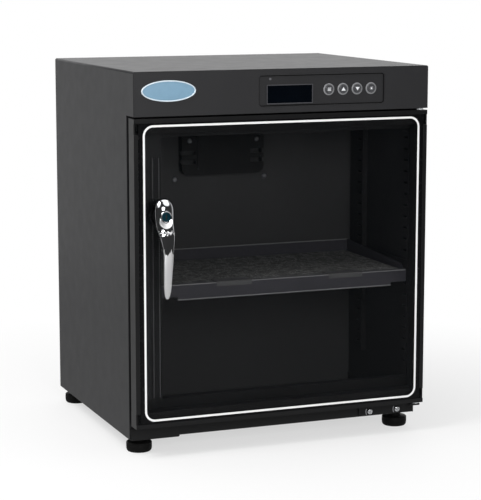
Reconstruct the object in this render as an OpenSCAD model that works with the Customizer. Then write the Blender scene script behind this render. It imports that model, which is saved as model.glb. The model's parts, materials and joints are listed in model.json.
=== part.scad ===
// Camera dry cabinet: a painted sheet steel body with a glass door, a lever lock,
// a sliding shelf, a front control panel and a thermoelectric drying unit.
// Millimetres. +X is to the right, -Y is the front, +Z is up.
// The origin lies on the floor under the middle of the whole outline.

/* [Body] */
// Width of the body
body_w = 400; // [370:5:460]
// Depth from the face of the door to the back of the rear panel
body_d = 346; // [336:2:420]
// Height of the body above its feet
body_h = 465; // [440:5:560]
// Thickness of the sheet steel
sheet_t = 1.2; // [0.8:0.1:1.5]
// How far the header and the door stand in front of the body
stand_d = 28; // [27:0.5:32]
// Depth from the face of the door to the back wall of the chamber
chamber_d = 232; // [226:2:234]
// Outside radius of the folds along the top edges
bend_r = 2.4; // [2:0.2:4]

/* [Front opening] */
// Width of the wide jamb that the lock closes on
jamb_w = 44; // [43:0.5:48]
// Depth of the hollow behind that jamb
jamb_d = 20; // [18:1:24]
// Width of the narrow jamb on the hinge side
hinge_jamb_w = 11.5; // [11:0.5:14]
// Height of the sill above the bottom of the body
sill_h = 50; // [45:1:60]
// Height of the rail above the opening
top_rail_h = 28; // [26:1:34]
// Depth of the folds round the opening
return_d = 12; // [8:1:14]

/* [Header] */
// Height of the header
header_h = 55; // [52:1:70]
// Width of the oval plate
badge_w = 70.5; // [50:0.5:90]
// Height of the oval plate
badge_h = 26.2; // [20:0.2:34]
// Distance from the left side to the middle of the oval plate
badge_left = 45.5; // [40:0.5:60]
// Width of the control panel
panel_w = 175; // [172:1:185]
// Height of the control panel
panel_h = 41; // [40:0.5:44]
// Distance from the right side to the control panel
panel_right = 61.2; // [50:0.2:65]
// Corner radius of the control panel
panel_r = 5; // [3:0.5:8]
// Width of the display window
display_w = 61.6; // [50:0.2:66]
// Height of the display window
display_h = 23.1; // [20:0.1:26]
// Diameter of a push button
button_d = 11; // [9:0.2:12]
// Distance between two push buttons
button_pitch = 19.6; // [17:0.2:20]
// Travel of a push button
button_travel = 0.6; // [0.4:0.1:0.8]

/* [Door] */
// Thickness of the door frame
door_t = 20.5; // [19:0.5:21.5]
// Gap above and below the door
door_gap = 2.4; // [2:0.1:4]
// Distance that the door stays inside the body's sides
door_side_gap = 0.4; // [0.3:0.1:1.5]
// Height of the rail that shows under the door
rail_show = 19.6; // [18:0.2:26]
// Width of the lip in front of the glass
lip_w = 5.5; // [4:0.1:7]
// Thickness of the lip in front of the glass
lip_t = 1.2; // [0.8:0.1:2]
// Height of the moulded caps at the top and bottom of the door
cap_h = 19; // [17:0.5:24]
// Width of the upright frame members
stile_w = 14; // [13:0.5:15]
// Thickness of the glass
glass_t = 4; // [3:0.5:4]
// Width of the pale line round the glass
line_w = 2.6; // [2:0.1:5]
// Corner radius of the pale line
line_r = 13.5; // [8:0.5:20]
// Width of the door seal
gasket_w = 4; // [3:0.1:4]

/* [Hinges] */
// Diameter of the hinge pins
pin_d = 4; // [3:0.1:4.4]
// Distance from the door's right edge to the hinge axis
pin_inset = 7; // [6.5:0.1:8]
// Distance from the back of the door to the hinge axis
pin_back = 12; // [11:0.1:12]
// Running clearance round pins and spindles
run_gap = 0.05; // [0.03:0.01:0.1]

/* [Lock] */
// Distance from the left side to the lock axis
lock_left = 35.3; // [35:0.1:38]
// Distance from the top to the lock axis
lock_drop = 176.6; // [160:1:200]
// How far the handle stands in front of the door
handle_reach = 22; // [20:0.5:28]
// Width of the handle's head
head_w = 24.2; // [22:0.2:26]
// Height of the handle's head above the lock axis
head_up = 22; // [20:0.5:24]
// Length of the handle below the lock axis
tail_l = 102; // [90:1:120]
// Diameter of the key cylinder
plug_d = 12; // [10:0.5:12]
// Diameter of the spindle
spindle_d = 13; // [11:0.5:14]
// Length of the latch cam from the axis
cam_l = 18; // [17.5:0.1:18.4]

/* [Shelf] */
// Height of the shelf's front edge above the bottom of the body
shelf_rise = 194.4; // [120:0.2:260]
// Depth of the shelf
shelf_d = 186; // [150:1:187]
// Gap between the shelf and each jamb
shelf_gap = 1; // [0.5:0.1:3]
// Height of the shelf's front rail
fascia_h = 16; // [12:0.5:22]
// Height of the rear upstand above the front edge
upstand_h = 14.7; // [8:0.1:24]
// Thickness of the foam mat
mat_t = 4; // [3:0.5:5]
// Distance between the slots of the shelf posts
slot_pitch = 15; // [12:0.5:20]

/* [Drying unit] */
// Width of the inner vent cover
cover_w = 120; // [112:1:130]
// Height of the inner vent cover
cover_h = 86; // [82:1:90]
// Depth of the inner vent cover
cover_d = 14; // [14:0.5:16]
// Distance from the top to the middle of the vent cover
cover_drop = 113; // [110:1:120]
// Distance between two rows of vent slots
vent_pitch = 12.3; // [12:0.1:15]
// Number of fins on the hot heat sink
hot_fins = 12; // [6:1:14]
// Number of fins on the cold heat sink
cold_fins = 9; // [5:1:10]

/* [Feet] */
// Height of a foot
foot_h = 20; // [16:0.5:30]
// Diameter of a foot
foot_d = 33; // [26:0.5:36]
// Distance from each side to the middle of a foot
foot_inset = 19; // [18.5:0.5:30]

/* [Hidden] */
$fn = 48;

// Overrun of a cut past the face that it opens
over = 1;
// Gap between pieces that must not touch
clear = 0.3;
// Depth of the vent cover behind the rear panel
vent_proud = 3;
// Y of the plane that the header and the door share
face_y = handle_reach - (handle_reach + body_d + vent_proud) / 2;

// Levels and sides of the body
base_z = foot_h;
top_z = base_z + body_h;
left_x = -body_w / 2;
right_x = body_w / 2;
in_left = left_x + sheet_t;
in_right = right_x - sheet_t;
in_top = top_z - sheet_t;
pan_z = base_z + sheet_t;
bend_in = bend_r - sheet_t;
header_z = top_z - header_h;
ceiling_z = header_z - sheet_t;
front_in = stand_d + sheet_t;
back_out = chamber_d + sheet_t;
rear_in = body_d - sheet_t;
sill_z = base_z + sill_h;

// Front opening
open_left = left_x + jamb_w;
open_right = right_x - hinge_jamb_w;
open_top = header_z - top_rail_h;
rail_lift = 1.5;
hem_d = 4;
pan_flange = 12;

// Side pockets that hold the shelf posts, the same depth on both sides
post_w = 20;
post_t = 7;
post_sheet = 1;
runner_t = 1.5;
shelf_left = open_left + shelf_gap;
shelf_right = open_right - shelf_gap;
pocket_w = in_right - shelf_right;
liner_x = shelf_left - pocket_w;

// Corner plate
corner_w = 66.7;
corner_h = 15;
corner_t = 1.6;
corner_drop = 1.5;

// Header and control panel
badge_t = 1.6;
badge_rim = 2;
badge_sink = 0.5;
badge_up = 3.4;
panel_x1 = right_x - panel_right;
panel_x0 = panel_x1 - panel_w;
panel_z = header_z + header_h / 2;
bezel_wall = 1.2;
bezel_gap = 0.1;
bezel_floor_d = 2;
bezel_floor_t = 2;
bezel_flange = 3;
bezel_back = bezel_floor_d + bezel_floor_t;
fascia_fold = 12;
display_left = 12;
display_low = 4.4;
display_t = 1.2;
display_edge = 2.4;
display_r = 1;
display_x = panel_x0 + display_left + display_w / 2;
display_z = panel_z - panel_h / 2 + display_low + display_h / 2;
button_first = 96.7;
button_proud = 0.3;
button_lip = 1;
button_lip_t = 1;
rim_w = 1.5;
rim_t = 1.2;
rim_gap = 0.1;
board_d = 9;
board_t = 1.6;
board_edge = 8;
switch_w = 6;
lamp_d = 3;
lamp_left = 16.5;
lamp_up = 14.9;
lamp_x = panel_x0 + lamp_left;
lamp_z = panel_z + lamp_up;
peg_d = 5;
peg_in = 8;
switch_d = bezel_back + clear + button_lip_t + button_travel + clear;
function button_x(i) = panel_x0 + button_first + i * button_pitch;

// Door outline
door_x0 = left_x + door_side_gap;
door_x1 = right_x - door_side_gap;
door_z0 = base_z + rail_show;
door_z1 = header_z - door_gap;
glass_in = 2;
glass_gap = 0.2;
glass_back = lip_t + glass_t;
stile_wall = 1.5;
film_t = 0.15;
film_gap = 0.3;
line_left = 13.1;
line_right = 11.9;
line_top = 9.3;
line_low = 9.6;
gasket_side = 6;
gasket_high = 8;
cap_solid = 22;
cap_wall = 2.2;

// Hinge line
pin_x = door_x1 - pin_inset;
pin_y = door_t - pin_back;
bush_wall = 1;
bush_l = 10;
bush_rim = 1.6;
bush_fit = 0.02;
pin_l = 9;
leaf_t = 2;
leaf_front = 3.5;
leaf_left = 9.4;
leaf_right = 5;
plate_w = 80;
plate_side = 1.4;
plate_low = 2;
plate_h = 12;
plate_t = 2;
leaf_top = door_z0 - door_gap;
screw_low = 4.7;
screw_inner = 24;
screw_outer = 64;
hinge_screw_d = 6.6;
hinge_screw_h = 1.8;
hinge_slot_l = 10;
hinge_slot_w = 4.2;
upper_w = 46;
upper_d = 24;
upper_t = 2;
upper_x1 = in_right - clear;

// Lock and handle
lock_x = left_x + lock_left;
lock_z = top_z - lock_drop;
flange_d = 22;
flange_t = 2;
barrel_d = 18.6;
barrel_gap = 0.3;
barrel_end = 17;
nut_af = 26;
nut_t = 4;
cam_w = 16;
cam_t = 2.5;
cam_air = 1.5;
cam_d0 = barrel_end + cam_air;
cam_square = 8;
cam_cap_t = 2;
strike_t = 1.2;
strike_h = 20;
strike_side = 0.6;
strike_lip = 9;
strike_foot = 12;
strike_hole = 3.4;
strike_hole_in = 7.2;
plug_l = 14;
plug_proud = 0.6;
ring_w = 1.4;
ring_t = 1.2;
keyway_w = 2;
keyway_h = 7;
keyway_d = 5;

// The handle from its top to its tip. Each row gives the height as a share of the head's
// height or, below the axis, of the tail's length, then the half width as a share of the
// head's, the depths of the front and of the back as shares of the reach, and the shift to
// the right as a share of the head's half width.
handle_shares = [
    [1, 0.15, 0.45, 0.35, 0.04], [0.97, 0.38, 0.55, 0.26, 0.04], [0.87, 0.65, 0.67, 0.17, 0.04],
    [0.71, 0.86, 0.77, 0.09, 0.04], [0.44, 0.99, 0.82, 0.05, 0.04], [0, 1, 0.82, 0.05, 0.04],
    [-0.08, 0.98, 0.82, 0.06, 0.06], [-0.165, 0.89, 0.855, 0.3, 0.1], [-0.255, 0.77, 0.92, 0.58, 0.15],
    [-0.355, 0.63, 0.965, 0.73, 0.17], [-0.46, 0.51, 0.985, 0.81, 0.18], [-0.57, 0.49, 1, 0.82, 0.15],
    [-0.69, 0.45, 0.985, 0.82, 0.11], [-0.87, 0.38, 0.95, 0.8, 0.06], [-0.96, 0.26, 0.915, 0.79, 0.045],
    [-1, 0.12, 0.885, 0.81, 0.04]];
handle_steps = 3;
handle_sides = 24;
handle_square_share = 0.72;
handle_face_share = 0.82;

// Shelf
shelf_z = base_z + shelf_rise;
tray_t = 1;
tray_set = 2;
tray_front = stand_d + tray_set;
tray_back = tray_front + shelf_d;
mat_sunk = 1.2;
tray_floor = shelf_z - mat_sunk - mat_t;
side_front_h = 6;
lip_h = 5;
lip_in = 22;
lip_back = 6;
fascia_fold_d = 8;
rail_top_d = 9;
mat_edge = 3;
mat_gap = 0.5;
clip_w = 48;
clip_first = 74;
clip_second = 230;
clip_t = 0.8;
clip_d = 22;
clip_drop = 3.5;
runner_leg = 13;
runner_h = 18;
tab_w = 8;
tab_h = 2;
slot_w = 10;
slot_h = 3;
post_front = 34;
post_front_gap = 2;
post_back = 176;
post_low = 5;
post_high = 6;
strip_w = 13.3;
strip_t = 0.6;
strip_top = 24;
strip_pitch = 5.4;
strip_slot_w = 4;
strip_slot_h = 2.2;

// Drying unit
cover_x = 0;
cover_z = top_z - cover_drop;
cover_wall = 1.8;
cover_r = 10;
cover_top_r = 3;
raised_w = 75;
raised_low = 8;
raised_t = 3;
vent_rows = 5;
vent_in = 21;
vent_h = 6;
unit_z = cover_z;
sink_w = 60;
sink_h = 56;
sink_base = 4;
cold_front = 3;
fin_t = 1.2;
tile_w = 40;
tile_t = 4;
window_gap = 2;
foam_w = 90;
foam_h = 80;
hot_base = 6;
hot_air = 30;
tray_h = 8;
tray_wall = 1;
tile_front = chamber_d + sink_base;
hot_front = tile_front + tile_t;

// Rear parts
rear_flange = 12;
grille_w = 130;
grille_h = 100;
grille_lip = 8;
grille_slats = 8;
grille_slat_h = 6;
intake_w = 70;
intake_h = 4;
intake_rows = 7;
intake_pitch = 10;
intake_low = 110;
supply_w = 100;
supply_h = 42;
supply_right = 50;
supply_back = 20;
supply_gap = 2.8;
supply_front = chamber_d + return_d + supply_gap;
supply_d = rear_in - supply_back - supply_front;
supply_hole = 5;
supply_holes = [7, 5];
inlet_w = 50;
inlet_h = 24;
inlet_left = 70;
inlet_up = 60;
inlet_t = 2.4;
inlet_body_w = 30;
inlet_body_h = 22;
inlet_body_d = 22;
socket_w = 25;
socket_h = 17;
socket_d = 17;
socket_r = 3;
blade_w = 2;
blade_h = 4;
blade_l = 11;
blade_side = 7;
blade_up = 2;
sensor_w = 30;
sensor_d = 20;
sensor_h = 7;
sensor_x = 110;
sensor_back = 70;
sensor_hole = 2.4;

// Screws and feet
chamber_screw_d = 7;
chamber_screw_h = 2;
wall_screw_x = 66;
wall_screw_drop = 162.5;
cover_screw_x = 49;
cover_screw_up = 4;
rear_screw_d = 7;
rear_screw_h = 1.6;
rear_screw_in = 6;
slot_cut = 1.1;
foot_cup_share = 0.64;
foot_neck_share = 0.5;
foot_round = 3;
foot_bore = 5.4;
foot_screw_d = 5;
foot_head_d = 10;
foot_head_h = 3;
foot_recess_d = 13;
foot_recess_h = 6;
foot_nut_h = 5;
foot_front = stand_d + foot_inset;
foot_back = body_d - foot_inset;

// Colours
paint = "#3f4143";
dark_paint = "#2c2d2f";
liner = "#333538";
steel = "#b9bcc0";
chrome = "#d6d8db";
black = "#151617";
rubber = "#1b1b1c";
smoke = "#20242880";
pale = "#eceeef";
board_green = "#21613c";
foam = "#8d8f90";

// Runs a drawing in X and Z back through depths d0 to d1
module along_y(d0, d1) {
    translate([0, face_y + d1, 0])
        rotate([90, 0, 0])
            linear_extrude(d1 - d0)
                children();
}

// Runs a drawing in depth and Z sideways from x0 to x1
module along_x(x0, x1) {
    translate([x0, face_y, 0])
        rotate([90, 0, 90])
            linear_extrude(x1 - x0)
                children();
}

// Runs a drawing in X and depth up from z0 to z1
module along_z(z0, z1) {
    translate([0, face_y, z0])
        linear_extrude(z1 - z0)
            children();
}

// A rectangle between two corners
module span(a0, a1, b0, b1) {
    translate([a0, b0])
        square([a1 - a0, b1 - b0]);
}

// A rectangle between two corners, with its corners rounded
module soft_span(a0, a1, b0, b1, r) {
    span(a0 + r, a1 - r, b0, b1);
    span(a0, a1, b0 + r, b1 - r);
    for (a = [a0 + r, a1 - r], b = [b0 + r, b1 - r])
        translate([a, b])
            circle(r);
}

// A rectangle whose two upper corners are rounded
module arch_span(a0, a1, b0, b1, r) {
    span(a0 + r, a1 - r, b0, b1);
    span(a0, a1, b0, b1 - r);
    for (a = [a0 + r, a1 - r])
        translate([a, b1 - r])
            circle(r);
}

// A slot with round ends, centred, along the first axis
module slot_2d(l, w) {
    square([l - w, w], center = true);
    for (side = [-1, 1])
        translate([side * (l - w) / 2, 0])
            circle(w / 2);
}

// A disc lying against a wall, its face towards the front, with a cross cut in it
module screw_head(d, h) {
    rotate([90, 0, 0])
        difference() {
            cylinder(h = h, r1 = d / 2, r2 = d / 3);
            translate([0, 0, h / 2])
                linear_extrude(h)
                    for (turn = [0, 90])
                        rotate(turn)
                            square([d / 2, slot_cut], center = true);
        }
}

// Body

module casing_2d() {
    difference() {
        arch_span(left_x, right_x, base_z, top_z, bend_r);
        arch_span(in_left, in_right, base_z - over, in_top, bend_in);
    }
}

module outer_casing() {
    color(paint)
        difference() {
            along_y(0, body_d)
                casing_2d();
            along_x(left_x - over, right_x + over)
                span(-over, stand_d, base_z - over, header_z);
        }
}

module foot_places() {
    for (x = [left_x + foot_inset, right_x - foot_inset], d = [foot_front, foot_back])
        translate([x, face_y + d, 0])
            children();
}

module base_pan() {
    color(dark_paint)
        difference() {
            union() {
                along_z(base_z, pan_z)
                    span(in_left, in_right, front_in, rear_in);
                along_z(base_z, base_z + pan_flange)
                    difference() {
                        span(in_left, in_right, front_in, rear_in);
                        span(in_left + sheet_t, in_right - sheet_t, front_in + sheet_t, rear_in - sheet_t);
                    }
            }
            foot_places()
                translate([0, 0, base_z - over])
                    cylinder(h = sheet_t + 2 * over, d = foot_bore);
        }
}

module front_rail() {
    color(paint)
        union() {
            along_y(stand_d, front_in)
                span(in_left, in_right, base_z + rail_lift, sill_z);
            along_x(open_left, open_right)
                span(stand_d, stand_d + return_d, sill_z - sheet_t, sill_z);
        }
}

module corner_plate() {
    color(paint)
        along_y(stand_d - corner_t, stand_d)
            soft_span(left_x + plate_side, left_x + corner_w, base_z - corner_drop,
                base_z - corner_drop + corner_h, corner_t);
}

// The wide jamb, the box behind it and the side wall of the chamber are one folded sheet
module jamb_2d() {
    span(in_left, open_left, stand_d, front_in);
    span(open_left - sheet_t, open_left, stand_d, stand_d + jamb_d);
    span(liner_x - sheet_t, open_left, stand_d + jamb_d - sheet_t, stand_d + jamb_d);
    span(liner_x - sheet_t, liner_x, stand_d + jamb_d - sheet_t, chamber_d);
}

module lock_jamb() {
    color(paint)
        difference() {
            along_z(pan_z, ceiling_z)
                jamb_2d();
            along_z(pan_z - over, sill_z)
                span(in_left - over, open_left + over, stand_d - over, front_in);
            along_z(pan_z - over, base_z + pan_flange)
                span(in_left - over, open_left + over, stand_d - over, front_in + sheet_t);
        }
}

module hinge_jamb() {
    color(paint)
        along_z(sill_z, ceiling_z)
            union() {
                span(open_right, in_right, stand_d, front_in);
                span(open_right, open_right + sheet_t, stand_d, stand_d + hem_d);
            }
}

// The sheet between the chamber and the control bay, folded down over the opening
module bay_floor() {
    color(liner)
        union() {
            along_z(ceiling_z, header_z)
                span(in_left, in_right, stand_d, back_out);
            along_y(stand_d, front_in)
                span(open_left, open_right, open_top, ceiling_z);
        }
}

module chamber_back() {
    color(liner)
        difference() {
            union() {
                along_y(chamber_d, back_out)
                    span(liner_x - sheet_t, in_right, pan_z, ceiling_z);
                along_x(liner_x - sheet_t, in_right)
                    span(chamber_d, chamber_d + return_d, pan_z, pan_z + sheet_t);
            }
            along_y(chamber_d - over, back_out + over)
                translate([cover_x, unit_z])
                    square([sink_w + window_gap, sink_h + window_gap], center = true);
            along_z(pan_z - over, base_z + pan_flange)
                span(in_right - sheet_t, in_right + over, chamber_d - over, rear_in);
        }
}

module rear_panel() {
    color(dark_paint)
        difference() {
            union() {
                along_y(rear_in, body_d)
                    arch_span(in_left, in_right, base_z, in_top, bend_in);
                for (x = [in_left, in_right - sheet_t])
                    along_x(x, x + sheet_t)
                        span(rear_in - rear_flange, rear_in, base_z + pan_flange, in_top - bend_in);
            }
            along_y(rear_in - over, body_d + over)
                translate([cover_x, unit_z])
                    square([grille_w - 2 * grille_lip, grille_h - 2 * grille_lip], center = true);
            along_y(rear_in - over, body_d + over)
                for (i = [0 : intake_rows - 1])
                    translate([cover_x, base_z + intake_low + i * intake_pitch])
                        slot_2d(intake_w, intake_h);
            along_y(rear_in - over, body_d + over)
                translate([inlet_x, inlet_z])
                    square([inlet_body_w, inlet_body_h], center = true);
        }
}

// The perforated strip on the edge of the wide jamb
module strip_holes(z0, z1) {
    rows = floor((z1 - z0) / strip_pitch);
    for (i = [0 : rows - 1], side = [-1, 1])
        translate([open_left - strip_w / 2 + side * strip_w / 4, z0 + (i + 0.5) * (z1 - z0) / rows])
            square([strip_slot_w, strip_slot_h], center = true);
}

module jamb_strip() {
    top = open_top - strip_top;
    color(steel)
        along_y(stand_d - strip_t, stand_d)
            difference() {
                span(open_left - strip_w, open_left, sill_z, top);
                strip_holes(sill_z, top);
            }
}

// Header

module header_fascia() {
    color(paint)
        difference() {
            union() {
                along_y(0, sheet_t)
                    arch_span(in_left, in_right, header_z, in_top, bend_in);
                along_z(header_z, header_z + sheet_t)
                    span(in_left, in_right, 0, stand_d + fascia_fold);
                along_z(in_top - sheet_t, in_top)
                    span(in_left + bend_r, in_right - bend_r, 0, fascia_fold);
            }
            along_y(-over, sheet_t + over)
                soft_span(panel_x0, panel_x1, panel_z - panel_h / 2, panel_z + panel_h / 2, panel_r);
            translate([pin_x, face_y + pin_y, header_z - over])
                cylinder(h = sheet_t + 2 * over, d = pin_d + 2 * clear);
        }
}

module badge_plate() {
    translate([left_x + badge_left, face_y, panel_z + badge_up])
        rotate([90, 0, 0]) {
            color(pale)
                difference() {
                    linear_extrude(badge_t)
                        scale([badge_w / badge_h, 1])
                            circle(d = badge_h);
                    translate([0, 0, badge_t - badge_sink])
                        linear_extrude(badge_t)
                            scale([(badge_w - 2 * badge_rim) / (badge_h - 2 * badge_rim), 1])
                                circle(d = badge_h - 2 * badge_rim);
                }
        }
}

module panel_2d(inset) {
    soft_span(panel_x0 + inset, panel_x1 - inset, panel_z - panel_h / 2 + inset,
        panel_z + panel_h / 2 - inset, panel_r - inset);
}

module peg_places() {
    for (x = [panel_x0 + peg_in, panel_x1 - peg_in], z = [panel_z - panel_h / 2 + peg_in,
            panel_z + panel_h / 2 - peg_in])
        translate([x, z])
            children();
}

module control_bezel() {
    color(paint)
        difference() {
            union() {
                along_y(0, bezel_back)
                    panel_2d(bezel_gap);
                along_y(sheet_t, bezel_back)
                    soft_span(panel_x0 - bezel_flange, panel_x1 + bezel_flange,
                        panel_z - panel_h / 2 - bezel_flange, panel_z + panel_h / 2 + bezel_flange,
                        panel_r);
                along_y(bezel_back, board_d)
                    peg_places()
                        circle(d = peg_d);
            }
            along_y(-over, bezel_floor_d)
                panel_2d(bezel_wall);
            along_y(0, bezel_back + over)
                translate([display_x, display_z])
                    square([display_w - 2 * display_edge, display_h - 2 * display_edge], center = true);
            for (i = [0 : 3])
                translate([button_x(i), face_y, panel_z])
                    rotate([-90, 0, 0])
                        cylinder(h = bezel_back + over, d = button_d + 2 * rim_gap);
            translate([lamp_x, face_y, lamp_z])
                rotate([-90, 0, 0])
                    cylinder(h = bezel_back + over, d = lamp_d + 2 * rim_gap);
        }
}

module display_window() {
    color(black)
        along_y(bezel_floor_d - display_t, bezel_floor_d)
            soft_span(display_x - display_w / 2, display_x + display_w / 2,
                display_z - display_h / 2, display_z + display_h / 2, display_r);
}

module display_module() {
    color(dark_paint)
        along_y(bezel_floor_d, board_d)
            translate([display_x, display_z])
                square([display_w - 2 * display_edge - clear, display_h - 2 * display_edge - clear],
                    center = true);
}

module control_board() {
    color(board_green)
        union() {
            along_y(board_d, board_d + board_t)
                span(panel_x0 + board_edge / 2, panel_x1 - board_edge / 2,
                    panel_z - panel_h / 2 + board_edge / 4, panel_z + panel_h / 2 - board_edge / 4);
            along_y(switch_d, board_d)
                for (i = [0 : 3])
                    translate([button_x(i), panel_z])
                        square(switch_w, center = true);
        }
}

module button_rims() {
    color(chrome)
        for (i = [0 : 3])
            translate([button_x(i), face_y + bezel_floor_d, panel_z])
                rotate([90, 0, 0])
                    rotate_extrude()
                        difference() {
                            span(button_d / 2 + rim_gap, button_d / 2 + rim_gap + rim_w, 0, rim_t);
                            translate([button_d / 2 + rim_gap + rim_w, rim_t])
                                circle(rim_t / 2);
                        }
}

module status_lamp() {
    color(pale)
        translate([lamp_x, face_y + board_d, lamp_z])
            rotate([90, 0, 0])
                cylinder(h = board_d - bezel_floor_d + rim_t / 2, d = lamp_d);
}

// Push buttons: a round cap with a lip behind the panel
module push_button(i) {
    color(steel)
        translate([button_x(i), face_y - button_proud, panel_z])
            rotate([-90, 0, 0])
                rotate_extrude()
                    union() {
                        span(0, button_d / 2, button_proud, bezel_back + clear + button_proud);
                        span(0, button_d / 2 - button_proud, 0, button_proud);
                        span(0, button_d / 2 + button_lip, bezel_back + clear + button_proud,
                            bezel_back + clear + button_proud + button_lip_t);
                    }
}

module set_button() {
    push_button(0);
}

module up_button() {
    push_button(1);
}

module down_button() {
    push_button(2);
}

module lamp_button() {
    push_button(3);
}

// Drying unit

module inner_vent_cover() {
    x0 = cover_x - cover_w / 2;
    x1 = cover_x + cover_w / 2;
    z0 = cover_z - cover_h / 2;
    z1 = cover_z + cover_h / 2;
    first = cover_z - (vent_rows - 1) * vent_pitch / 2;
    color(dark_paint)
        difference() {
            union() {
                along_y(chamber_d - cover_d, chamber_d)
                    soft_span(x0, x1, z0, z1, cover_r);
                along_y(chamber_d - cover_d - raised_t, chamber_d)
                    soft_span(cover_x - raised_w / 2, cover_x + raised_w / 2, z0 + raised_low,
                        z1 - raised_low, cover_top_r);
            }
            along_y(chamber_d - cover_d + cover_wall, chamber_d + over)
                soft_span(x0 + cover_wall, x1 - cover_wall, z0 + cover_wall, z1 - cover_wall,
                    cover_r - cover_wall);
            along_y(chamber_d - cover_d - raised_t + cover_wall, chamber_d + over)
                soft_span(cover_x - raised_w / 2 + cover_wall, cover_x + raised_w / 2 - cover_wall,
                    z0 + raised_low + cover_wall, z1 - raised_low - cover_wall,
                    cover_top_r - cover_wall);
            for (i = [0 : vent_rows - 1])
                if (abs(i - (vent_rows - 1) / 2) > 0.5)
                    along_y(chamber_d - cover_d - over, chamber_d - cover_d + vent_h)
                        for (x = [x0 - over, x1 + over - vent_in])
                            span(x, x + vent_in, first + i * vent_pitch - vent_h / 2,
                                first + i * vent_pitch + vent_h / 2);
        }
}

module cold_sink() {
    color(steel)
        union() {
            along_y(chamber_d, tile_front)
                translate([cover_x, unit_z])
                    square([sink_w, sink_h], center = true);
            along_y(chamber_d - cover_d + cold_front, chamber_d)
                for (i = [0 : cold_fins - 1])
                    translate([cover_x - sink_w / 2 + i * (sink_w - fin_t) / (cold_fins - 1),
                            unit_z - sink_h / 2])
                        square([fin_t, sink_h]);
        }
}

module cooling_tile() {
    color(pale)
        along_y(tile_front, hot_front)
            translate([cover_x, unit_z])
                square(tile_w, center = true);
}

module insulating_frame() {
    color(foam)
        difference() {
            along_y(back_out, hot_front)
                translate([cover_x, unit_z])
                    square([foam_w, foam_h], center = true);
            along_y(back_out - over, tile_front)
                translate([cover_x, unit_z])
                    square([sink_w, sink_h], center = true);
            along_y(tile_front - over, hot_front + over)
                translate([cover_x, unit_z])
                    square(tile_w, center = true);
        }
}

module hot_sink() {
    color(steel)
        union() {
            along_y(hot_front, hot_front + hot_base)
                translate([cover_x, unit_z])
                    square([foam_w, foam_h], center = true);
            along_y(hot_front + hot_base, rear_in - hot_air)
                for (i = [0 : hot_fins - 1])
                    translate([cover_x - foam_w / 2 + i * (foam_w - fin_t) / (hot_fins - 1),
                            unit_z - foam_h / 2])
                        square([fin_t, foam_h]);
        }
}

module rear_vent_cover() {
    pitch = (grille_h - 2 * grille_lip) / grille_slats;
    color(dark_paint)
        difference() {
            union() {
                along_y(body_d, body_d + vent_proud)
                    soft_span(cover_x - grille_w / 2, cover_x + grille_w / 2,
                        unit_z - grille_h / 2, unit_z + grille_h / 2, grille_lip / 2);
            }
            along_y(body_d - over, body_d + vent_proud + over)
                for (i = [0 : grille_slats - 1])
                    translate([cover_x, unit_z - grille_h / 2 + grille_lip + (i + 0.5) * pitch])
                        slot_2d(grille_w - 2 * grille_lip, grille_slat_h);
        }
}

module drip_tray() {
    z0 = cover_z - cover_h / 2 + cover_wall + clear;
    color(black)
        difference() {
            along_y(chamber_d - cover_d + cover_wall + clear, chamber_d)
                span(cover_x - sink_w / 2, cover_x + sink_w / 2, z0, z0 + tray_h);
            along_y(chamber_d - cover_d + cover_wall + clear + tray_wall, chamber_d - tray_wall)
                span(cover_x - sink_w / 2 + tray_wall, cover_x + sink_w / 2 - tray_wall,
                    z0 + tray_wall, z0 + tray_h + over);
        }
}

module humidity_sensor() {
    color(pale)
        difference() {
            along_z(ceiling_z - sensor_h, ceiling_z)
                soft_span(sensor_x - sensor_w / 2, sensor_x + sensor_w / 2,
                    sensor_back - sensor_d / 2, sensor_back + sensor_d / 2, sensor_hole);
            for (i = [-1, 0, 1], j = [-1, 1])
                translate([sensor_x + i * sensor_w / 4, face_y + sensor_back + j * sensor_d / 5,
                        ceiling_z - sensor_h - over])
                    cylinder(h = sensor_h / 2 + over, d = sensor_hole);
        }
}

// Rear compartment

inlet_x = left_x + inlet_left;
inlet_z = base_z + inlet_up;

module power_supply() {
    x1 = right_x - supply_right;
    d1 = rear_in - supply_back;
    color(steel)
        difference() {
            along_z(pan_z, pan_z + supply_h)
                span(x1 - supply_w, x1, d1 - supply_d, d1);
            along_z(pan_z + sheet_t, pan_z + supply_h - sheet_t)
                span(x1 - supply_w + sheet_t, x1 - sheet_t, d1 - supply_d + sheet_t, d1 - sheet_t);
            along_z(pan_z + supply_h - sheet_t, pan_z + supply_h + over)
                for (i = [1 : supply_holes[0]], j = [1 : supply_holes[1]])
                    translate([x1 - supply_w + i * supply_w / (supply_holes[0] + 1),
                            d1 - supply_d + j * supply_d / (supply_holes[1] + 1)])
                        circle(d = supply_hole);
        }
}

module power_inlet() {
    color(black)
        union() {
            difference() {
                union() {
                    along_y(body_d, body_d + inlet_t)
                        translate([inlet_x, inlet_z])
                            slot_2d(inlet_w, inlet_h);
                    along_y(body_d - inlet_body_d, body_d)
                        translate([inlet_x, inlet_z])
                            square([inlet_body_w - clear, inlet_body_h - clear], center = true);
                }
                along_y(body_d + inlet_t - socket_d, body_d + inlet_t + over)
                    soft_span(inlet_x - socket_w / 2, inlet_x + socket_w / 2,
                        inlet_z - socket_h / 2, inlet_z + socket_h / 2, socket_r);
            }
            for (place = [[-1, -1], [0, 1], [1, -1]])
                along_y(body_d + inlet_t - socket_d - over, body_d + inlet_t - socket_d + blade_l)
                    translate([inlet_x + place[0] * blade_side, inlet_z + place[1] * blade_up])
                        square([blade_w, blade_h], center = true);
        }
}

// Shelf posts: hat sections with a row of slots, two on each side wall

tab_z = tray_floor - clear - tab_h;
post_left = stand_d + jamb_d + post_front_gap;

module post_2d() {
    span(0, post_w, post_t - post_sheet, post_t);
    for (d = [0, post_w - post_sheet])
        span(d, d + post_sheet, 0, post_t);
}

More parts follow.
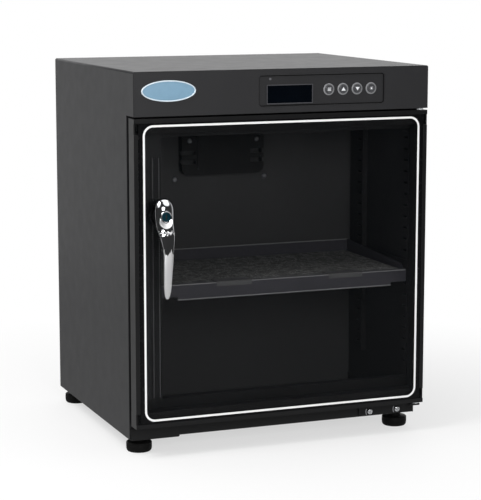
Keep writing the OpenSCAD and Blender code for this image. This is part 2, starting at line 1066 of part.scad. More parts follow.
module rack_post() {
    low = sill_z + post_low;
    high = open_top - post_high;
    below = floor((tab_z - low - slot_h) / slot_pitch);
    above = floor((high - tab_z - slot_h) / slot_pitch);
    difference() {
        translate([0, 0, low])
            linear_extrude(high - low)
                post_2d();
        for (i = [-below : above])
            translate([(post_w - slot_w) / 2, post_t - post_sheet - over, tab_z + i * slot_pitch
                    + (tab_h - slot_h) / 2])
                cube([slot_w, post_sheet + 2 * over, slot_h]);
    }
}

module rack_posts() {
    color(steel)
        union() {
            for (d = [post_front, post_back])
                translate([in_right, face_y + d, 0])
                    rotate([0, 0, 90])
                        rack_post();
            for (d = [post_left, post_back])
                translate([liner_x, face_y + d + post_w, 0])
                    rotate([0, 0, -90])
                        rack_post();
        }
}

// An angle that the shelf slides on, with two tabs that hook into the posts
module runner(front) {
    leg_z = tray_floor - clear - runner_t;
    union() {
        along_y(front, post_back + post_w) {
            span(in_right - post_t - runner_t, in_right - post_t, leg_z, leg_z + runner_h);
            span(in_right - post_t - runner_leg, in_right - post_t, leg_z, leg_z + runner_t);
        }
        for (d = [front, post_back])
            along_z(tab_z, tab_z + tab_h)
                span(in_right - post_t - runner_t, in_right - post_t + 2 * post_sheet,
                    d + (post_w - tab_w) / 2, d + (post_w + tab_w) / 2);
    }
}

module shelf_runners() {
    color(steel)
        union() {
            runner(post_front);
            translate([in_right + liner_x, 0, 0])
                mirror([1, 0, 0])
                    runner(post_left);
        }
}

// Shelf

module shelf_tray() {
    color(steel)
        union() {
            along_z(tray_floor, tray_floor + tray_t)
                span(shelf_left, shelf_right, tray_front, tray_back);
            along_y(tray_back - tray_t, tray_back)
                span(shelf_left, shelf_right, tray_floor, shelf_z + upstand_h);
            for (x = [shelf_left, shelf_right - tray_t])
                along_x(x, x + tray_t)
                    polygon([[tray_front, tray_floor], [tray_back, tray_floor],
                        [tray_back, shelf_z + upstand_h],
                        [tray_front + rail_top_d + side_front_h, shelf_z + side_front_h],
                        [tray_front + rail_top_d, shelf_z + tray_t],
                        [tray_front, shelf_z]]);
            along_x(shelf_left, shelf_right)
                union() {
                    span(tray_front, tray_front + tray_t, shelf_z - fascia_h, shelf_z);
                    span(tray_front, tray_front + rail_top_d, shelf_z - tray_t, shelf_z);
                    span(tray_front, tray_front + fascia_fold_d, shelf_z - fascia_h,
                        shelf_z - fascia_h + tray_t);
                }
            along_x(shelf_left + lip_in, shelf_right - lip_in)
                union() {
                    span(tray_front + tray_t, tray_front + 2 * tray_t, shelf_z - fascia_h - lip_h,
                        shelf_z - fascia_h);
                    span(tray_front + tray_t, tray_front + tray_t + lip_back,
                        shelf_z - fascia_h - lip_h, shelf_z - fascia_h - lip_h + tray_t);
                }
        }
}

module shelf_mat() {
    color(foam)
        along_z(tray_floor + tray_t, tray_floor + mat_t)
            soft_span(shelf_left + mat_edge, shelf_right - mat_edge, tray_front + rail_top_d + mat_gap,
                tray_back - mat_edge, mat_edge);
}

module shelf_clips() {
    color(steel)
        for (x = [shelf_left + clip_first, shelf_left + clip_second])
            along_x(x, x + clip_w)
                union() {
                    span(tray_front - clip_t, tray_front, shelf_z - clip_drop, shelf_z + clip_t);
                    span(tray_front - clip_t, tray_front + clip_d, shelf_z, shelf_z + clip_t);
                }
}

// Latch and hinges on the body

// A folded bracket on the wide jamb: the cam turns in behind its front lip
module strike_2d() {
    x0 = door_x0 + stile_w + strike_side;
    lip_d = cam_d0 - clear;
    span(x0, x0 + strike_foot, stand_d - strike_t, stand_d);
    span(x0, x0 + strike_t, lip_d - strike_t, stand_d);
    span(x0, x0 + strike_lip, lip_d - strike_t, lip_d);
}

module strike_plate() {
    color(steel)
        difference() {
            along_z(lock_z - strike_h / 2, lock_z + strike_h / 2)
                strike_2d();
            for (side = [-1, 1])
                translate([door_x0 + stile_w + strike_side + strike_hole_in,
                        face_y + stand_d - strike_t - over, lock_z + side * strike_h / 3])
                    rotate([-90, 0, 0])
                        cylinder(h = strike_t + 2 * over, d = strike_hole);
        }
}

plate_x1 = right_x - plate_side;
plate_x0 = plate_x1 - plate_w;
screw_places = [plate_x1 - screw_inner, plate_x1 - screw_outer];

module lower_hinge() {
    plate_z = base_z + plate_low;
    color(paint)
        union() {
            along_y(stand_d - plate_t, stand_d)
                difference() {
                    union() {
                        span(plate_x0, plate_x1, plate_z, plate_z + plate_h);
                        span(pin_x - leaf_left, pin_x + leaf_right, plate_z + plate_h, leaf_top);
                    }
                    for (x = screw_places)
                        translate([x - hinge_slot_w / 2, base_z + plate_low + screw_low])
                            slot_2d(hinge_slot_l, hinge_slot_w);
                }
            difference() {
                along_z(leaf_top - leaf_t, leaf_top)
                    soft_span(pin_x - leaf_left, pin_x + leaf_right, leaf_front, stand_d, leaf_t);
                translate([pin_x, face_y + pin_y, leaf_top - leaf_t - over])
                    cylinder(h = leaf_t + 2 * over, d = pin_d);
            }
        }
}

module upper_hinge() {
    z0 = header_z + sheet_t;
    color(steel)
        difference() {
            along_z(z0, z0 + upper_t)
                span(upper_x1 - upper_w, upper_x1, sheet_t + clear, sheet_t + clear + upper_d);
            translate([pin_x, face_y + pin_y, z0 - over])
                cylinder(h = upper_t + 2 * over, d = pin_d);
        }
}

module hinge_pins() {
    color(steel) {
        translate([pin_x, face_y + pin_y, leaf_top - leaf_t])
            cylinder(h = leaf_t + door_gap + pin_l, d = pin_d);
        translate([pin_x, face_y + pin_y, door_z1 - pin_l])
            cylinder(h = pin_l + door_gap + sheet_t + upper_t, d = pin_d);
    }
}

module hinge_screws() {
    color(chrome)
        for (x = screw_places)
            translate([x, face_y + stand_d - plate_t, base_z + plate_low + screw_low])
                screw_head(hinge_screw_d, hinge_screw_h);
}

module chamber_screws() {
    color(chrome) {
        for (side = [-1, 1])
            translate([cover_x + side * wall_screw_x, face_y + chamber_d, top_z - wall_screw_drop])
                screw_head(chamber_screw_d, chamber_screw_h);
        for (side = [-1, 1])
            translate([cover_x + side * cover_screw_x, face_y + chamber_d - cover_d,
                    cover_z + cover_screw_up])
                screw_head(chamber_screw_d, chamber_screw_h);
    }
}

module rear_screws() {
    color(steel) {
        for (x = [in_left + rear_screw_in, in_right - rear_screw_in],
                z = [base_z + rear_screw_in, base_z + body_h / 2, in_top - 2 * rear_screw_in])
            translate([x, face_y + body_d, z])
                rotate([0, 0, 180])
                    screw_head(rear_screw_d, rear_screw_h);
    }
}

// Feet

module feet() {
    cup_h = foot_h * foot_cup_share;
    color(rubber)
        foot_places()
            rotate_extrude()
                difference() {
                    union() {
                        soft_span(0, foot_d / 2, foot_round / 3, cup_h, foot_round);
                        span(0, foot_d / 2 - foot_round, 0, foot_round);
                        span(0, foot_d * foot_neck_share / 2, 0, foot_h);
                    }
                    span(-foot_d, foot_bore / 2, -over, foot_h + over);
                    span(-foot_d, foot_recess_d / 2, -over, foot_recess_h);
                }
}

module foot_screws() {
    color(steel)
        foot_places()
            rotate_extrude()
                union() {
                    span(0, foot_head_d / 2, foot_recess_h - foot_head_h, foot_recess_h);
                    span(0, foot_screw_d / 2, foot_recess_h, pan_z + foot_nut_h);
                    span(0, foot_head_d / 2, pan_z, pan_z + foot_nut_h - sheet_t);
                }
}

// Door

module door_glass() {
    color(smoke)
        difference() {
            along_y(lip_t, glass_back)
                span(door_x0 + glass_in, door_x1 - glass_in, door_z0 + glass_in, door_z1 - glass_in);
            translate([lock_x, face_y + lip_t - over, lock_z])
                rotate([-90, 0, 0])
                    cylinder(h = glass_t + 2 * over, d = barrel_d + 2 * barrel_gap);
        }
}

// One upright of the frame, seen from above, with its outer edge at zero
module stile_2d() {
    difference() {
        span(0, stile_w, 0, door_t);
        span(lip_w, stile_w + over, -over, lip_t);
        span(glass_in - glass_gap, stile_w + over, lip_t, glass_back);
        span(stile_wall, stile_w - stile_wall, glass_back + stile_wall, door_t - stile_wall);
    }
}

module lock_stile() {
    color(dark_paint)
        along_z(door_z0 + cap_h, door_z1 - cap_h)
            translate([door_x0, 0])
                stile_2d();
}

module hinge_stile() {
    color(dark_paint)
        along_z(door_z0 + cap_h, door_z1 - cap_h)
            translate([door_x1, 0])
                mirror([1, 0])
                    stile_2d();
}

// One cap of the frame, seen from the side, with its outer edge at zero
module cap_2d() {
    difference() {
        span(0, door_t, 0, cap_h);
        span(-over, lip_t, lip_w, cap_h + over);
    }
}

module end_cap() {
    difference() {
        along_x(door_x0, door_x1)
            cap_2d();
        along_x(door_x0 + glass_in - glass_gap, door_x1 - glass_in + glass_gap)
            span(lip_t, glass_back, glass_in - glass_gap, cap_h + over);
        along_x(door_x0 + lip_w, door_x1 - lip_w)
            span(-over, glass_back, lip_w, cap_h + over);
        along_x(door_x0 + cap_solid, door_x1 - cap_solid)
            span(glass_back + cap_wall, door_t - cap_wall, cap_wall, cap_h - cap_wall);
        translate([pin_x, face_y + pin_y, -over])
            cylinder(h = bush_l + over, d = pin_d + 2 * run_gap + 2 * bush_wall + 2 * bush_fit);
    }
}

module bottom_cap() {
    color(dark_paint)
        translate([0, 0, door_z0])
            end_cap();
}

module top_cap() {
    color(dark_paint)
        translate([0, 0, door_z1])
            mirror([0, 0, 1])
                end_cap();
}

module line_2d(grow) {
    soft_span(door_x0 + line_left - grow, door_x1 - line_right + grow, door_z0 + line_low - grow,
        door_z1 - line_top + grow, line_r - line_w / 2 + grow);
}

module glass_border() {
    edge = lip_w + film_gap;
    color(black)
        along_y(lip_t - film_t, lip_t)
            difference() {
                span(door_x0 + edge, door_x1 - edge, door_z0 + edge, door_z1 - edge);
                line_2d(line_w / 2);
            }
}

module glass_line() {
    color(pale)
        along_y(lip_t - film_t, lip_t)
            difference() {
                line_2d(line_w / 2);
                line_2d(-line_w / 2);
            }
}

gasket_x1 = pin_x;
gasket_x0 = door_x0 + gasket_side;
gasket_z0 = door_z0 + gasket_high;
gasket_z1 = door_z1 - gasket_high;

module door_gasket() {
    color(rubber)
        along_y(door_t, stand_d - clear)
            difference() {
                soft_span(gasket_x0, gasket_x1, gasket_z0, gasket_z1, gasket_w);
                span(gasket_x0 + gasket_w, gasket_x1 - gasket_w, gasket_z0 + gasket_w,
                    gasket_z1 - gasket_w);
            }
}

module bush(flange_h) {
    inner = pin_d / 2 + run_gap;
    rotate_extrude()
        union() {
            span(inner, inner + bush_wall, 0, bush_l);
            span(inner, inner + bush_wall + bush_rim, -flange_h, 0);
        }
}

module hinge_bushes() {
    color(pale) {
        translate([pin_x, face_y + pin_y, door_z0])
            bush(door_gap - clear);
        translate([pin_x, face_y + pin_y, door_z1])
            mirror([0, 0, 1])
                bush(door_gap - clear);
    }
}

// Lock

module at_lock(d) {
    translate([lock_x, face_y + d, lock_z])
        rotate([90, 0, 0])
            children();
}

module lock_body() {
    bore = spindle_d + 2 * run_gap;
    color(chrome)
        at_lock(barrel_end)
            rotate_extrude()
                difference() {
                    union() {
                        span(0, barrel_d / 2, 0, barrel_end - lip_t);
                        span(0, flange_d / 2, barrel_end - lip_t, barrel_end - lip_t + flange_t);
                    }
                    span(-flange_d, bore / 2, -over, barrel_end + flange_t + over);
                    translate([flange_d / 2, barrel_end - lip_t + flange_t])
                        circle(flange_t / 2);
                }
}

module lock_nut() {
    color(steel)
        at_lock(glass_back + nut_t)
            linear_extrude(nut_t)
                difference() {
                    circle(d = nut_af / cos(30), $fn = 6);
                    circle(d = barrel_d + 2 * bush_fit);
                }
}

// The handle is lofted through oval sections, from its top down to its tip
handle_back = lip_t - flange_t - clear;
handle_face = -handle_reach * handle_face_share;

function handle_row(row) = [
    row[0] > 0 ? row[0] * head_up : row[0] * tail_l,
    row[1] * head_w / 2,
    -row[2] * handle_reach,
    -row[3] * handle_reach,
    row[4] * head_w / 2];

// A smooth curve through four rows, at the share t of the way from the second to the third
function between(a, b, c, d, t) = b + (c - a) * t / 2 + (2 * a - 5 * b + 4 * c - d) * t * t / 2
    + (3 * b - a - 3 * c + d) * t * t * t / 2;

function handle_section(i, t) =
    let (last = len(handle_shares) - 1)
    between(handle_row(handle_shares[max(i - 1, 0)]), handle_row(handle_shares[i]),
        handle_row(handle_shares[min(i + 1, last)]), handle_row(handle_shares[min(i + 2, last)]), t);

function oval(angle) = [for (v = [cos(angle), sin(angle)]) sign(v) * pow(abs(v), handle_square_share)];

module handle_form() {
    stations = [for (i = [0 : len(handle_shares) - 2], k = [0 : handle_steps - 1])
        handle_section(i, k / handle_steps), handle_row(handle_shares[len(handle_shares) - 1])];
    count = len(stations);
    points = [for (s = stations, k = [0 : handle_sides - 1])
        let (o = oval(k * 360 / handle_sides))
        [s[4] + s[1] * o[0], min(handle_back, (s[2] + s[3]) / 2 + (s[3] - s[2]) / 2 * o[1]), s[0]]];
    top = [for (k = [0 : handle_sides - 1]) handle_sides - 1 - k];
    tip = [for (k = [0 : handle_sides - 1]) (count - 1) * handle_sides + k];
    sides = [for (j = [0 : count - 2], k = [0 : handle_sides - 1])
        let (a = j * handle_sides + k, b = j * handle_sides + (k + 1) % handle_sides)
        each [[a, b, a + handle_sides], [b, b + handle_sides, a + handle_sides]]];
    polyhedron(points, concat([top, tip], sides));
}

module lever_handle() {
    color(chrome)
        difference() {
            union() {
                translate([lock_x, face_y, lock_z])
                    handle_form();
                at_lock(handle_back)
                    cylinder(h = handle_back - handle_face, d = plug_d + 2 * ring_w);
                at_lock(handle_face)
                    cylinder(h = ring_t / 2, d = plug_d + 2 * ring_w);
                at_lock(cam_d0)
                    cylinder(h = cam_d0 - handle_back, d = spindle_d);
                at_lock(cam_d0 + cam_t)
                    linear_extrude(cam_t)
                        square(cam_square, center = true);
            }
            at_lock(handle_face + plug_l)
                cylinder(h = plug_l + ring_t + over, d = plug_d + 2 * run_gap);
        }
}

module latch_cam() {
    color(steel)
        union() {
            at_lock(cam_d0 + cam_t)
                linear_extrude(cam_t)
                    difference() {
                        union() {
                            circle(d = cam_w);
                            translate([0, (cam_l - cam_w / 4) / 2])
                                square([cam_w, cam_l - cam_w / 4], center = true);
                            span(-cam_w / 4, cam_w / 4, 0, cam_l);
                            for (side = [-1, 1])
                                translate([side * cam_w / 4, cam_l - cam_w / 4])
                                    circle(cam_w / 4);
                        }
                        square(cam_square, center = true);
                    }
            at_lock(cam_d0 + cam_t + cam_cap_t)
                cylinder(h = cam_cap_t, d = cam_w - cam_t);
        }
}

module key_plug() {
    color(steel)
        difference() {
            at_lock(handle_face + plug_l - clear)
                cylinder(h = plug_l - clear + plug_proud, d = plug_d);
            at_lock(handle_face - plug_proud + keyway_d)
                linear_extrude(keyway_d + over)
                    square([keyway_w, keyway_h], center = true);
        }
}

outer_casing();
base_pan();
front_rail();
corner_plate();
lock_jamb();
hinge_jamb();
bay_floor();
chamber_back();
rear_panel();
jamb_strip();
header_fascia();
badge_plate();
control_bezel();
display_window();
display_module();
control_board();
button_rims();
status_lamp();
inner_vent_cover();
cold_sink();
cooling_tile();
insulating_frame();
hot_sink();
rear_vent_cover();
drip_tray();
humidity_sensor();
power_supply();
power_inlet();
rack_posts();
shelf_runners();
strike_plate();
upper_hinge();
lower_hinge();
hinge_pins();
hinge_screws();
chamber_screws();
rear_screws();
feet();
foot_screws();
door_glass();
lock_stile();
hinge_stile();
top_cap();
bottom_cap();
glass_border();
glass_line();
door_gasket();
hinge_bushes();
lock_body();
lock_nut();
lever_handle();
latch_cam();
key_plug();
set_button();
up_button();
down_button();
lamp_button();
shelf_tray();
shelf_mat();
shelf_clips();
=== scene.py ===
import json
import math

import bmesh
import bpy
from mathutils import Matrix, Vector

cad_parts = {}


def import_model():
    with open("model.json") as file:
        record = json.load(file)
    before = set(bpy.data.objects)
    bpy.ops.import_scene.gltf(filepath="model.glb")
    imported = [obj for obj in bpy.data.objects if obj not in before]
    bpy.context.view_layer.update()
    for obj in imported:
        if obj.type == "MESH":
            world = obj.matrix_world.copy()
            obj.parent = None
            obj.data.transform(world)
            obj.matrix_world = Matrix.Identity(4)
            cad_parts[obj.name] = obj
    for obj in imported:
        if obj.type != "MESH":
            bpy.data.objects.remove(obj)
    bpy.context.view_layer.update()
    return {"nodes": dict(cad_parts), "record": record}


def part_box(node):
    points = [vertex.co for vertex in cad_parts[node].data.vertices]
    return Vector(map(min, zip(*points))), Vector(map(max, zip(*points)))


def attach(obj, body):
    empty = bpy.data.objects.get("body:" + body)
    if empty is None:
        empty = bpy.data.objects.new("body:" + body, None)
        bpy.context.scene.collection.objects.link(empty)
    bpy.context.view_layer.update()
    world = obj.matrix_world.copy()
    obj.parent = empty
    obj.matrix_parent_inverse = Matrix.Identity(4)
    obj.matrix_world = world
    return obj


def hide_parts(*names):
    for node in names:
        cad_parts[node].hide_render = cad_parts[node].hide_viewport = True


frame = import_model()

# Sizes are in metres, or in millimetres times MM. Places come from the frame.
MM = 0.001
TAU = 2 * math.pi
RECORD = frame["record"]
SCENE = bpy.context.scene
FRONT = Matrix.Rotation(math.radians(90), 4, "X")
FACE_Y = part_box("header_fascia")[0].y
LOCK = sum(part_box("key_plug"), Vector()) / 2
LOCK.y = FACE_Y


# Mesh helpers

def mesh_of(name, parts, smooth, sharp_angle):
    """One mesh from several (vertices, faces) pairs, with faces turned outwards."""
    mesh = bpy.data.meshes.new(name)
    build = bmesh.new()
    for points, faces in parts:
        verts = [build.verts.new(p) for p in points]
        for face in faces:
            build.faces.new([verts[i] for i in face])
    bmesh.ops.recalc_face_normals(build, faces=build.faces)
    build.to_mesh(mesh)
    build.free()
    if smooth:
        mesh.shade_smooth()
        mesh.set_sharp_from_angle(angle=math.radians(sharp_angle))
    return mesh


def add_piece(name, parts, body, finish, replaces=(), smooth=True, sharp_angle=40):
    """Puts a piece in the scene that rides on a body."""
    piece = bpy.data.objects.new(name, mesh_of(name, parts, smooth, sharp_angle))
    piece.data.materials.append(finish)
    SCENE.collection.objects.link(piece)
    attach(piece, body)
    if replaces:
        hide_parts(*replaces)
    return piece


def moved(part, matrix):
    """A (vertices, faces) pair after a transform."""
    points, faces = part
    return [matrix @ Vector(p) for p in points], faces


def facing(x, y, z):
    """Stands a drawing in X and Y at a place, so that its height along Z points to the front."""
    return Matrix.Translation((x, y, z)) @ FRONT


def skin(rings, capped=True):
    """A skin through rings of equally many points, with its ends capped."""
    count = len(rings[0])
    points = [p for ring in rings for p in ring]
    faces = []
    for row in range(0, (len(rings) - 1) * count, count):
        for k in range(count):
            after = (k + 1) % count
            faces.append((row + k, row + after, row + count + after, row + count + k))
    if capped:
        faces.append(tuple(range(count)))
        faces.append(tuple(range(len(points) - count, len(points))))
    return points, faces


def circle(radius, sides=48, squeeze=1.0):
    """The outline of a circle, or of an oval where it is squeezed."""
    turns = [TAU * k / sides for k in range(sides)]
    return [(radius * math.cos(turn), radius * squeeze * math.sin(turn)) for turn in turns]


def lathe(profile, sides=48, capped=True):
    """Turns (radius, height) points round the Z axis."""
    return skin([[(x, y, height) for x, y in circle(radius, sides)] for radius, height in profile], capped)


def band(profile, path):
    """Sweeps a closed profile of (across, up) points round a closed path of (point, outward, upward)."""
    rings = [[p + out * a + up * b for a, b in profile] for p, out, up in path]
    rings.append(rings[0])
    return skin(rings, capped=False)


def rounded(width, height, radius, steps=8, centre=(0, 0)):
    """The outline of a rectangle with round corners."""
    points = []
    for quarter, (side_x, side_y) in enumerate([(1, 1), (-1, 1), (-1, -1), (1, -1)]):
        corner_x = centre[0] + side_x * (width / 2 - radius)
        corner_y = centre[1] + side_y * (height / 2 - radius)
        for step in range(steps + 1):
            angle = (quarter + step / steps) * math.pi / 2
            points.append((corner_x + radius * math.cos(angle), corner_y + radius * math.sin(angle)))
    return points


def plate(outlines, low, high):
    """A flat plate from z low to z high. The first outline is its edge and the others are holes."""
    build = bmesh.new()
    loops = []
    for outline in outlines:
        verts = [build.verts.new((x, y, low)) for x, y in outline]
        loops.append(verts)
        for k, vert in enumerate(verts):
            build.edges.new((vert, verts[(k + 1) % len(verts)]))
    bmesh.ops.triangle_fill(build, use_beauty=True, edges=build.edges[:])
    order = {vert: index for index, vert in enumerate(build.verts)}
    points = [tuple(vert.co) for vert in build.verts]
    count = len(points)
    faces = [tuple(order[v] for v in face.verts) for face in build.faces]
    faces += [tuple(count + i for i in reversed(face)) for face in faces]
    for verts in loops:
        for k, vert in enumerate(verts):
            a, b = order[vert], order[verts[(k + 1) % len(verts)]]
            faces.append((a, b, count + b, count + a))
    build.free()
    points += [(x, y, high) for x, y, z in points]
    return points, faces


def bevel(piece, width, angle=35):
    """Rounds a piece's sharp edges."""
    weld = piece.modifiers.new("weld", "WELD")
    weld.merge_threshold = 0.001 * MM
    edge = piece.modifiers.new("bevel", "BEVEL")
    edge.width = width
    edge.segments = 2
    edge.limit_method = "ANGLE"
    edge.angle_limit = math.radians(angle)
    edge.use_clamp_overlap = True
    edge.harden_normals = True


# Node helpers

class Nodes:
    """Short calls that build a node tree."""

    def __init__(self, tree):
        self.tree = tree

    def node(self, kind, **settings):
        made = self.tree.nodes.new(kind)
        for name, value in settings.items():
            setattr(made, name, value)
        return made

    def link(self, output, target):
        self.tree.links.new(output, target)

    def combine(self, operation, *values):
        """One step of arithmetic with outputs and plain numbers."""
        made = self.node("ShaderNodeMath", operation=operation)
        for socket, value in zip(made.inputs, values):
            if isinstance(value, float):
                socket.default_value = value
            else:
                self.link(value, socket)
        return made.outputs["Value"]

    def ramp(self, value, low, high, start=0.0, end=1.0, **settings):
        """Maps a value from low..high to start..end."""
        made = self.node("ShaderNodeMapRange", **settings)
        for socket, number in zip(("From Min", "From Max", "To Min", "To Max"), (low, high, start, end)):
            made.inputs[socket].default_value = number
        self.link(value, made.inputs["Value"])
        return made.outputs["Result"]

    def glow(self, strength):
        """White light of one strength."""
        made = self.node("ShaderNodeEmission")
        made.inputs["Strength"].default_value = strength
        return made.outputs["Emission"]

    def background(self):
        """White background light, whose strength is still open."""
        made = self.node("ShaderNodeBackground")
        made.inputs["Color"].default_value = (1, 1, 1, 1)
        return made

    def choose(self, share, first, second):
        """The first shader where the share is 0, and the second where it is 1."""
        made = self.node("ShaderNodeMixShader")
        self.link(share, made.inputs["Fac"])
        self.link(first, made.inputs[1])
        self.link(second, made.inputs[2])
        return made.outputs["Shader"]

    def seen(self, path):
        """1 for what is seen directly or through glass."""
        return self.combine("MAXIMUM", path.outputs["Is Camera Ray"], path.outputs["Is Transmission Ray"])


class Finish(Nodes):
    """A node material that starts from one shader with plain values."""

    def __init__(self, name, color, rough, metal=0.0, shine=0.5, coat=0.0, coat_rough=0.1, alpha=1.0):
        self.material = bpy.data.materials.new(name)
        self.material.use_nodes = True
        super().__init__(self.material.node_tree)
        self.shader = self.tree.nodes["Principled BSDF"]
        self.set("Base Color", (*color, 1.0))
        self.set("Roughness", rough)
        self.set("Metallic", metal)
        self.set("Specular IOR Level", shine)
        self.set("Coat Weight", coat)
        self.set("Coat Roughness", coat_rough)
        self.set("Alpha", alpha)
        self.place = self.node("ShaderNodeTexCoord").outputs["Object"]

    def set(self, socket, value):
        self.shader.inputs[socket].default_value = value

    def drive(self, socket, output):
        self.link(output, self.shader.inputs[socket])

    def stretched(self, scale):
        """Object coordinates, scaled by axis."""
        mapping = self.node("ShaderNodeMapping")
        mapping.inputs["Scale"].default_value = scale
        self.link(self.place, mapping.inputs["Vector"])
        return mapping.outputs["Vector"]

    def noise(self, size, detail=2.0, rough=0.5, scale=(1, 1, 1)):
        """A noise whose grains are about size metres across."""
        made = self.node("ShaderNodeTexNoise")
        made.inputs["Scale"].default_value = 1 / size
        made.inputs["Detail"].default_value = detail
        made.inputs["Roughness"].default_value = rough
        self.link(self.stretched(scale), made.inputs["Vector"])
        return made.outputs["Fac"]

    def blend(self, value, color_a, color_b):
        """Drives the base colour between two colours, by a value from 0 to 1."""
        made = self.node("ShaderNodeMix", data_type="RGBA")
        made.inputs["A"].default_value = (*color_a, 1.0)
        made.inputs["B"].default_value = (*color_b, 1.0)
        self.link(value, made.inputs["Factor"])
        self.drive("Base Color", made.outputs["Result"])

    def vary_rough(self, pattern, low, high):
        """Drives the roughness between two values, by a noise."""
        self.drive("Roughness", self.ramp(pattern, 0.3, 0.7, low, high))

    def bump(self, height, strength, distance):
        made = self.node("ShaderNodeBump")
        made.inputs["Strength"].default_value = strength
        made.inputs["Distance"].default_value = distance
        self.link(height, made.inputs["Height"])
        self.drive("Normal", made.outputs["Normal"])


def tone(color, share):
    """A colour made darker or lighter."""
    return tuple(min(1.0, c * share) for c in color)


# Materials

def coated_steel(name, color, rough=0.42, grain=0.5 * MM, depth=0.03 * MM, shine=0.25):
    """Powder coat: fine pebbled skin, slightly uneven colour and gloss."""
    finish = Finish(name, color, rough, shine=shine)
    finish.blend(finish.ramp(finish.noise(90 * MM), 0.3, 0.7), tone(color, 0.95), tone(color, 1.05))
    finish.vary_rough(finish.noise(20 * MM), rough - 0.02, rough + 0.02)
    finish.bump(finish.noise(grain, detail=1), 0.2, depth)
    return finish.material


def moulded_plastic(name, color, rough=0.5, shine=0.5):
    """Injection moulded plastic with a fine spark texture."""
    finish = Finish(name, color, rough, shine=shine)
    finish.blend(finish.noise(4 * MM), tone(color, 0.92), tone(color, 1.08))
    finish.vary_rough(finish.noise(2 * MM), rough - 0.05, rough + 0.05)
    finish.bump(finish.noise(0.35 * MM, detail=1), 0.25, 0.03 * MM)
    return finish.material


def plated_steel(name, color, rough=0.32, streak=(1, 1, 8)):
    """Zinc or nickel plate with drawn streaks and light cloudiness."""
    finish = Finish(name, color, rough, metal=1.0)
    finish.blend(finish.noise(3 * MM), tone(color, 0.82), tone(color, 1.12))
    streaks = finish.noise(0.5 * MM, detail=3, scale=streak)
    finish.drive("Roughness", finish.ramp(streaks, 0.2, 0.8, rough - 0.1, rough + 0.12))
    finish.bump(streaks, 0.1, 0.02 * MM)
    return finish.material


def polished_chrome(name, color):
    """Bright chrome plate with faint polishing haze."""
    finish = Finish(name, color, 0.07, metal=1.0)
    finish.vary_rough(finish.noise(2.5 * MM, detail=3), 0.04, 0.12)
    finish.bump(finish.noise(5 * MM, detail=1), 0.04, 0.05 * MM)
    return finish.material


def lever_chrome(name, color):
    """Polished on the head; in a narrow band below it, rough spots painted near white as painted glints; on
    the tail, from a ragged edge, satin and painted near white as a painted reflection.
    """
    finish = Finish(name, color, 0.1, metal=1.0)
    split = finish.node("ShaderNodeSeparateXYZ")
    finish.link(finish.place, split.inputs["Vector"])
    height = split.outputs["Z"]

    # The tail is rougher and is painted near white from a ragged edge: a painted reflection of a bright
    # surround.
    ragged_by = 26 * MM
    soft_edge = 1.2 * MM
    tail_from = LOCK.z - 31 * MM
    teeth = finish.noise(3.2 * MM, detail=2, scale=(1, 0.3, 0.12))
    uneven = finish.combine("MULTIPLY_ADD", teeth, ragged_by, height)
    satin_painted_reflection_tail = finish.ramp(uneven, tail_from + soft_edge, tail_from - soft_edge)

    # Between these heights, rough spots are painted near white: painted glints of the lamps.
    band_top = LOCK.z - 17 * MM
    band_end = LOCK.z - 23.5 * MM
    fade = 0.5 * MM
    below_top = finish.ramp(height, band_top + fade, band_top - fade)
    above_end = finish.ramp(height, band_end - fade, band_end + fade)
    patches = finish.ramp(finish.noise(2.6 * MM, detail=2, scale=(1, 1, 1.3)), 0.53, 0.58)
    rough_painted_glints = finish.combine("MULTIPLY", finish.combine("MULTIPLY", below_top, above_end), patches)

    satin_and_painted_reflection = finish.combine("MAXIMUM", satin_painted_reflection_tail, rough_painted_glints)
    finish.drive("Roughness", finish.ramp(satin_and_painted_reflection, 0, 1, 0.07, 0.42))
    # The head is painted a little darker, and the tail and spots near white: painted reflection.
    finish.blend(satin_and_painted_reflection, tone(color, 0.85), PAINTED_REFLECTION_WHITE)
    finish.bump(finish.noise(0.9 * MM, detail=3, scale=(1, 1, 0.04)), 0.06, 0.05 * MM)
    return finish.material


def foam_sheet(name, color):
    """Closed cell foam, mottled grey and black."""
    finish = Finish(name, color, 0.92, shine=0.2)
    cells = finish.noise(2.4 * MM, detail=3, rough=0.7)
    patches = finish.ramp(finish.noise(9 * MM, detail=3, rough=0.6), 0.37, 0.63, 0.2, 1.0)
    mixed = finish.combine("MULTIPLY", finish.ramp(cells, 0.4, 0.62), patches)
    finish.blend(mixed, tone(color, 0.42), tone(color, 2.35))
    finish.bump(cells, 0.6, 0.4 * MM)
    return finish.material


def soft_rubber(name, color, rough=0.6):
    """Matt rubber with a fine grain."""
    finish = Finish(name, color, rough, shine=0.05)
    finish.blend(finish.noise(8 * MM), tone(color, 0.8), tone(color, 1.25))
    finish.vary_rough(finish.noise(3 * MM), rough - 0.08, rough + 0.08)
    finish.bump(finish.noise(0.7 * MM), 0.2, 0.05 * MM)
    return finish.material


def printed(name, color, rough=0.25, shine=0.5):
    """Screen print, slightly uneven in shade and gloss."""
    finish = Finish(name, color, rough, shine=shine)
    finish.blend(finish.noise(30 * MM), tone(color, 0.95), tone(color, 1.05))
    finish.vary_rough(finish.noise(6 * MM), rough - 0.06, rough + 0.06)
    return finish.material


def tinted_glass(name, color, alpha):
    """Thin dark glass, slightly uneven in gloss."""
    finish = Finish(name, color, 0.03, shine=0.2, alpha=alpha)
    finish.vary_rough(finish.noise(40 * MM), 0.02, 0.05)
    return finish.material


def dark_screen(name, color):
    """A display window that is switched off."""
    finish = Finish(name, color, 0.15, shine=0.1)
    finish.blend(finish.noise(12 * MM), tone(color, 0.7), tone(color, 1.4))
    finish.vary_rough(finish.noise(30 * MM), 0.1, 0.2)
    return finish.material


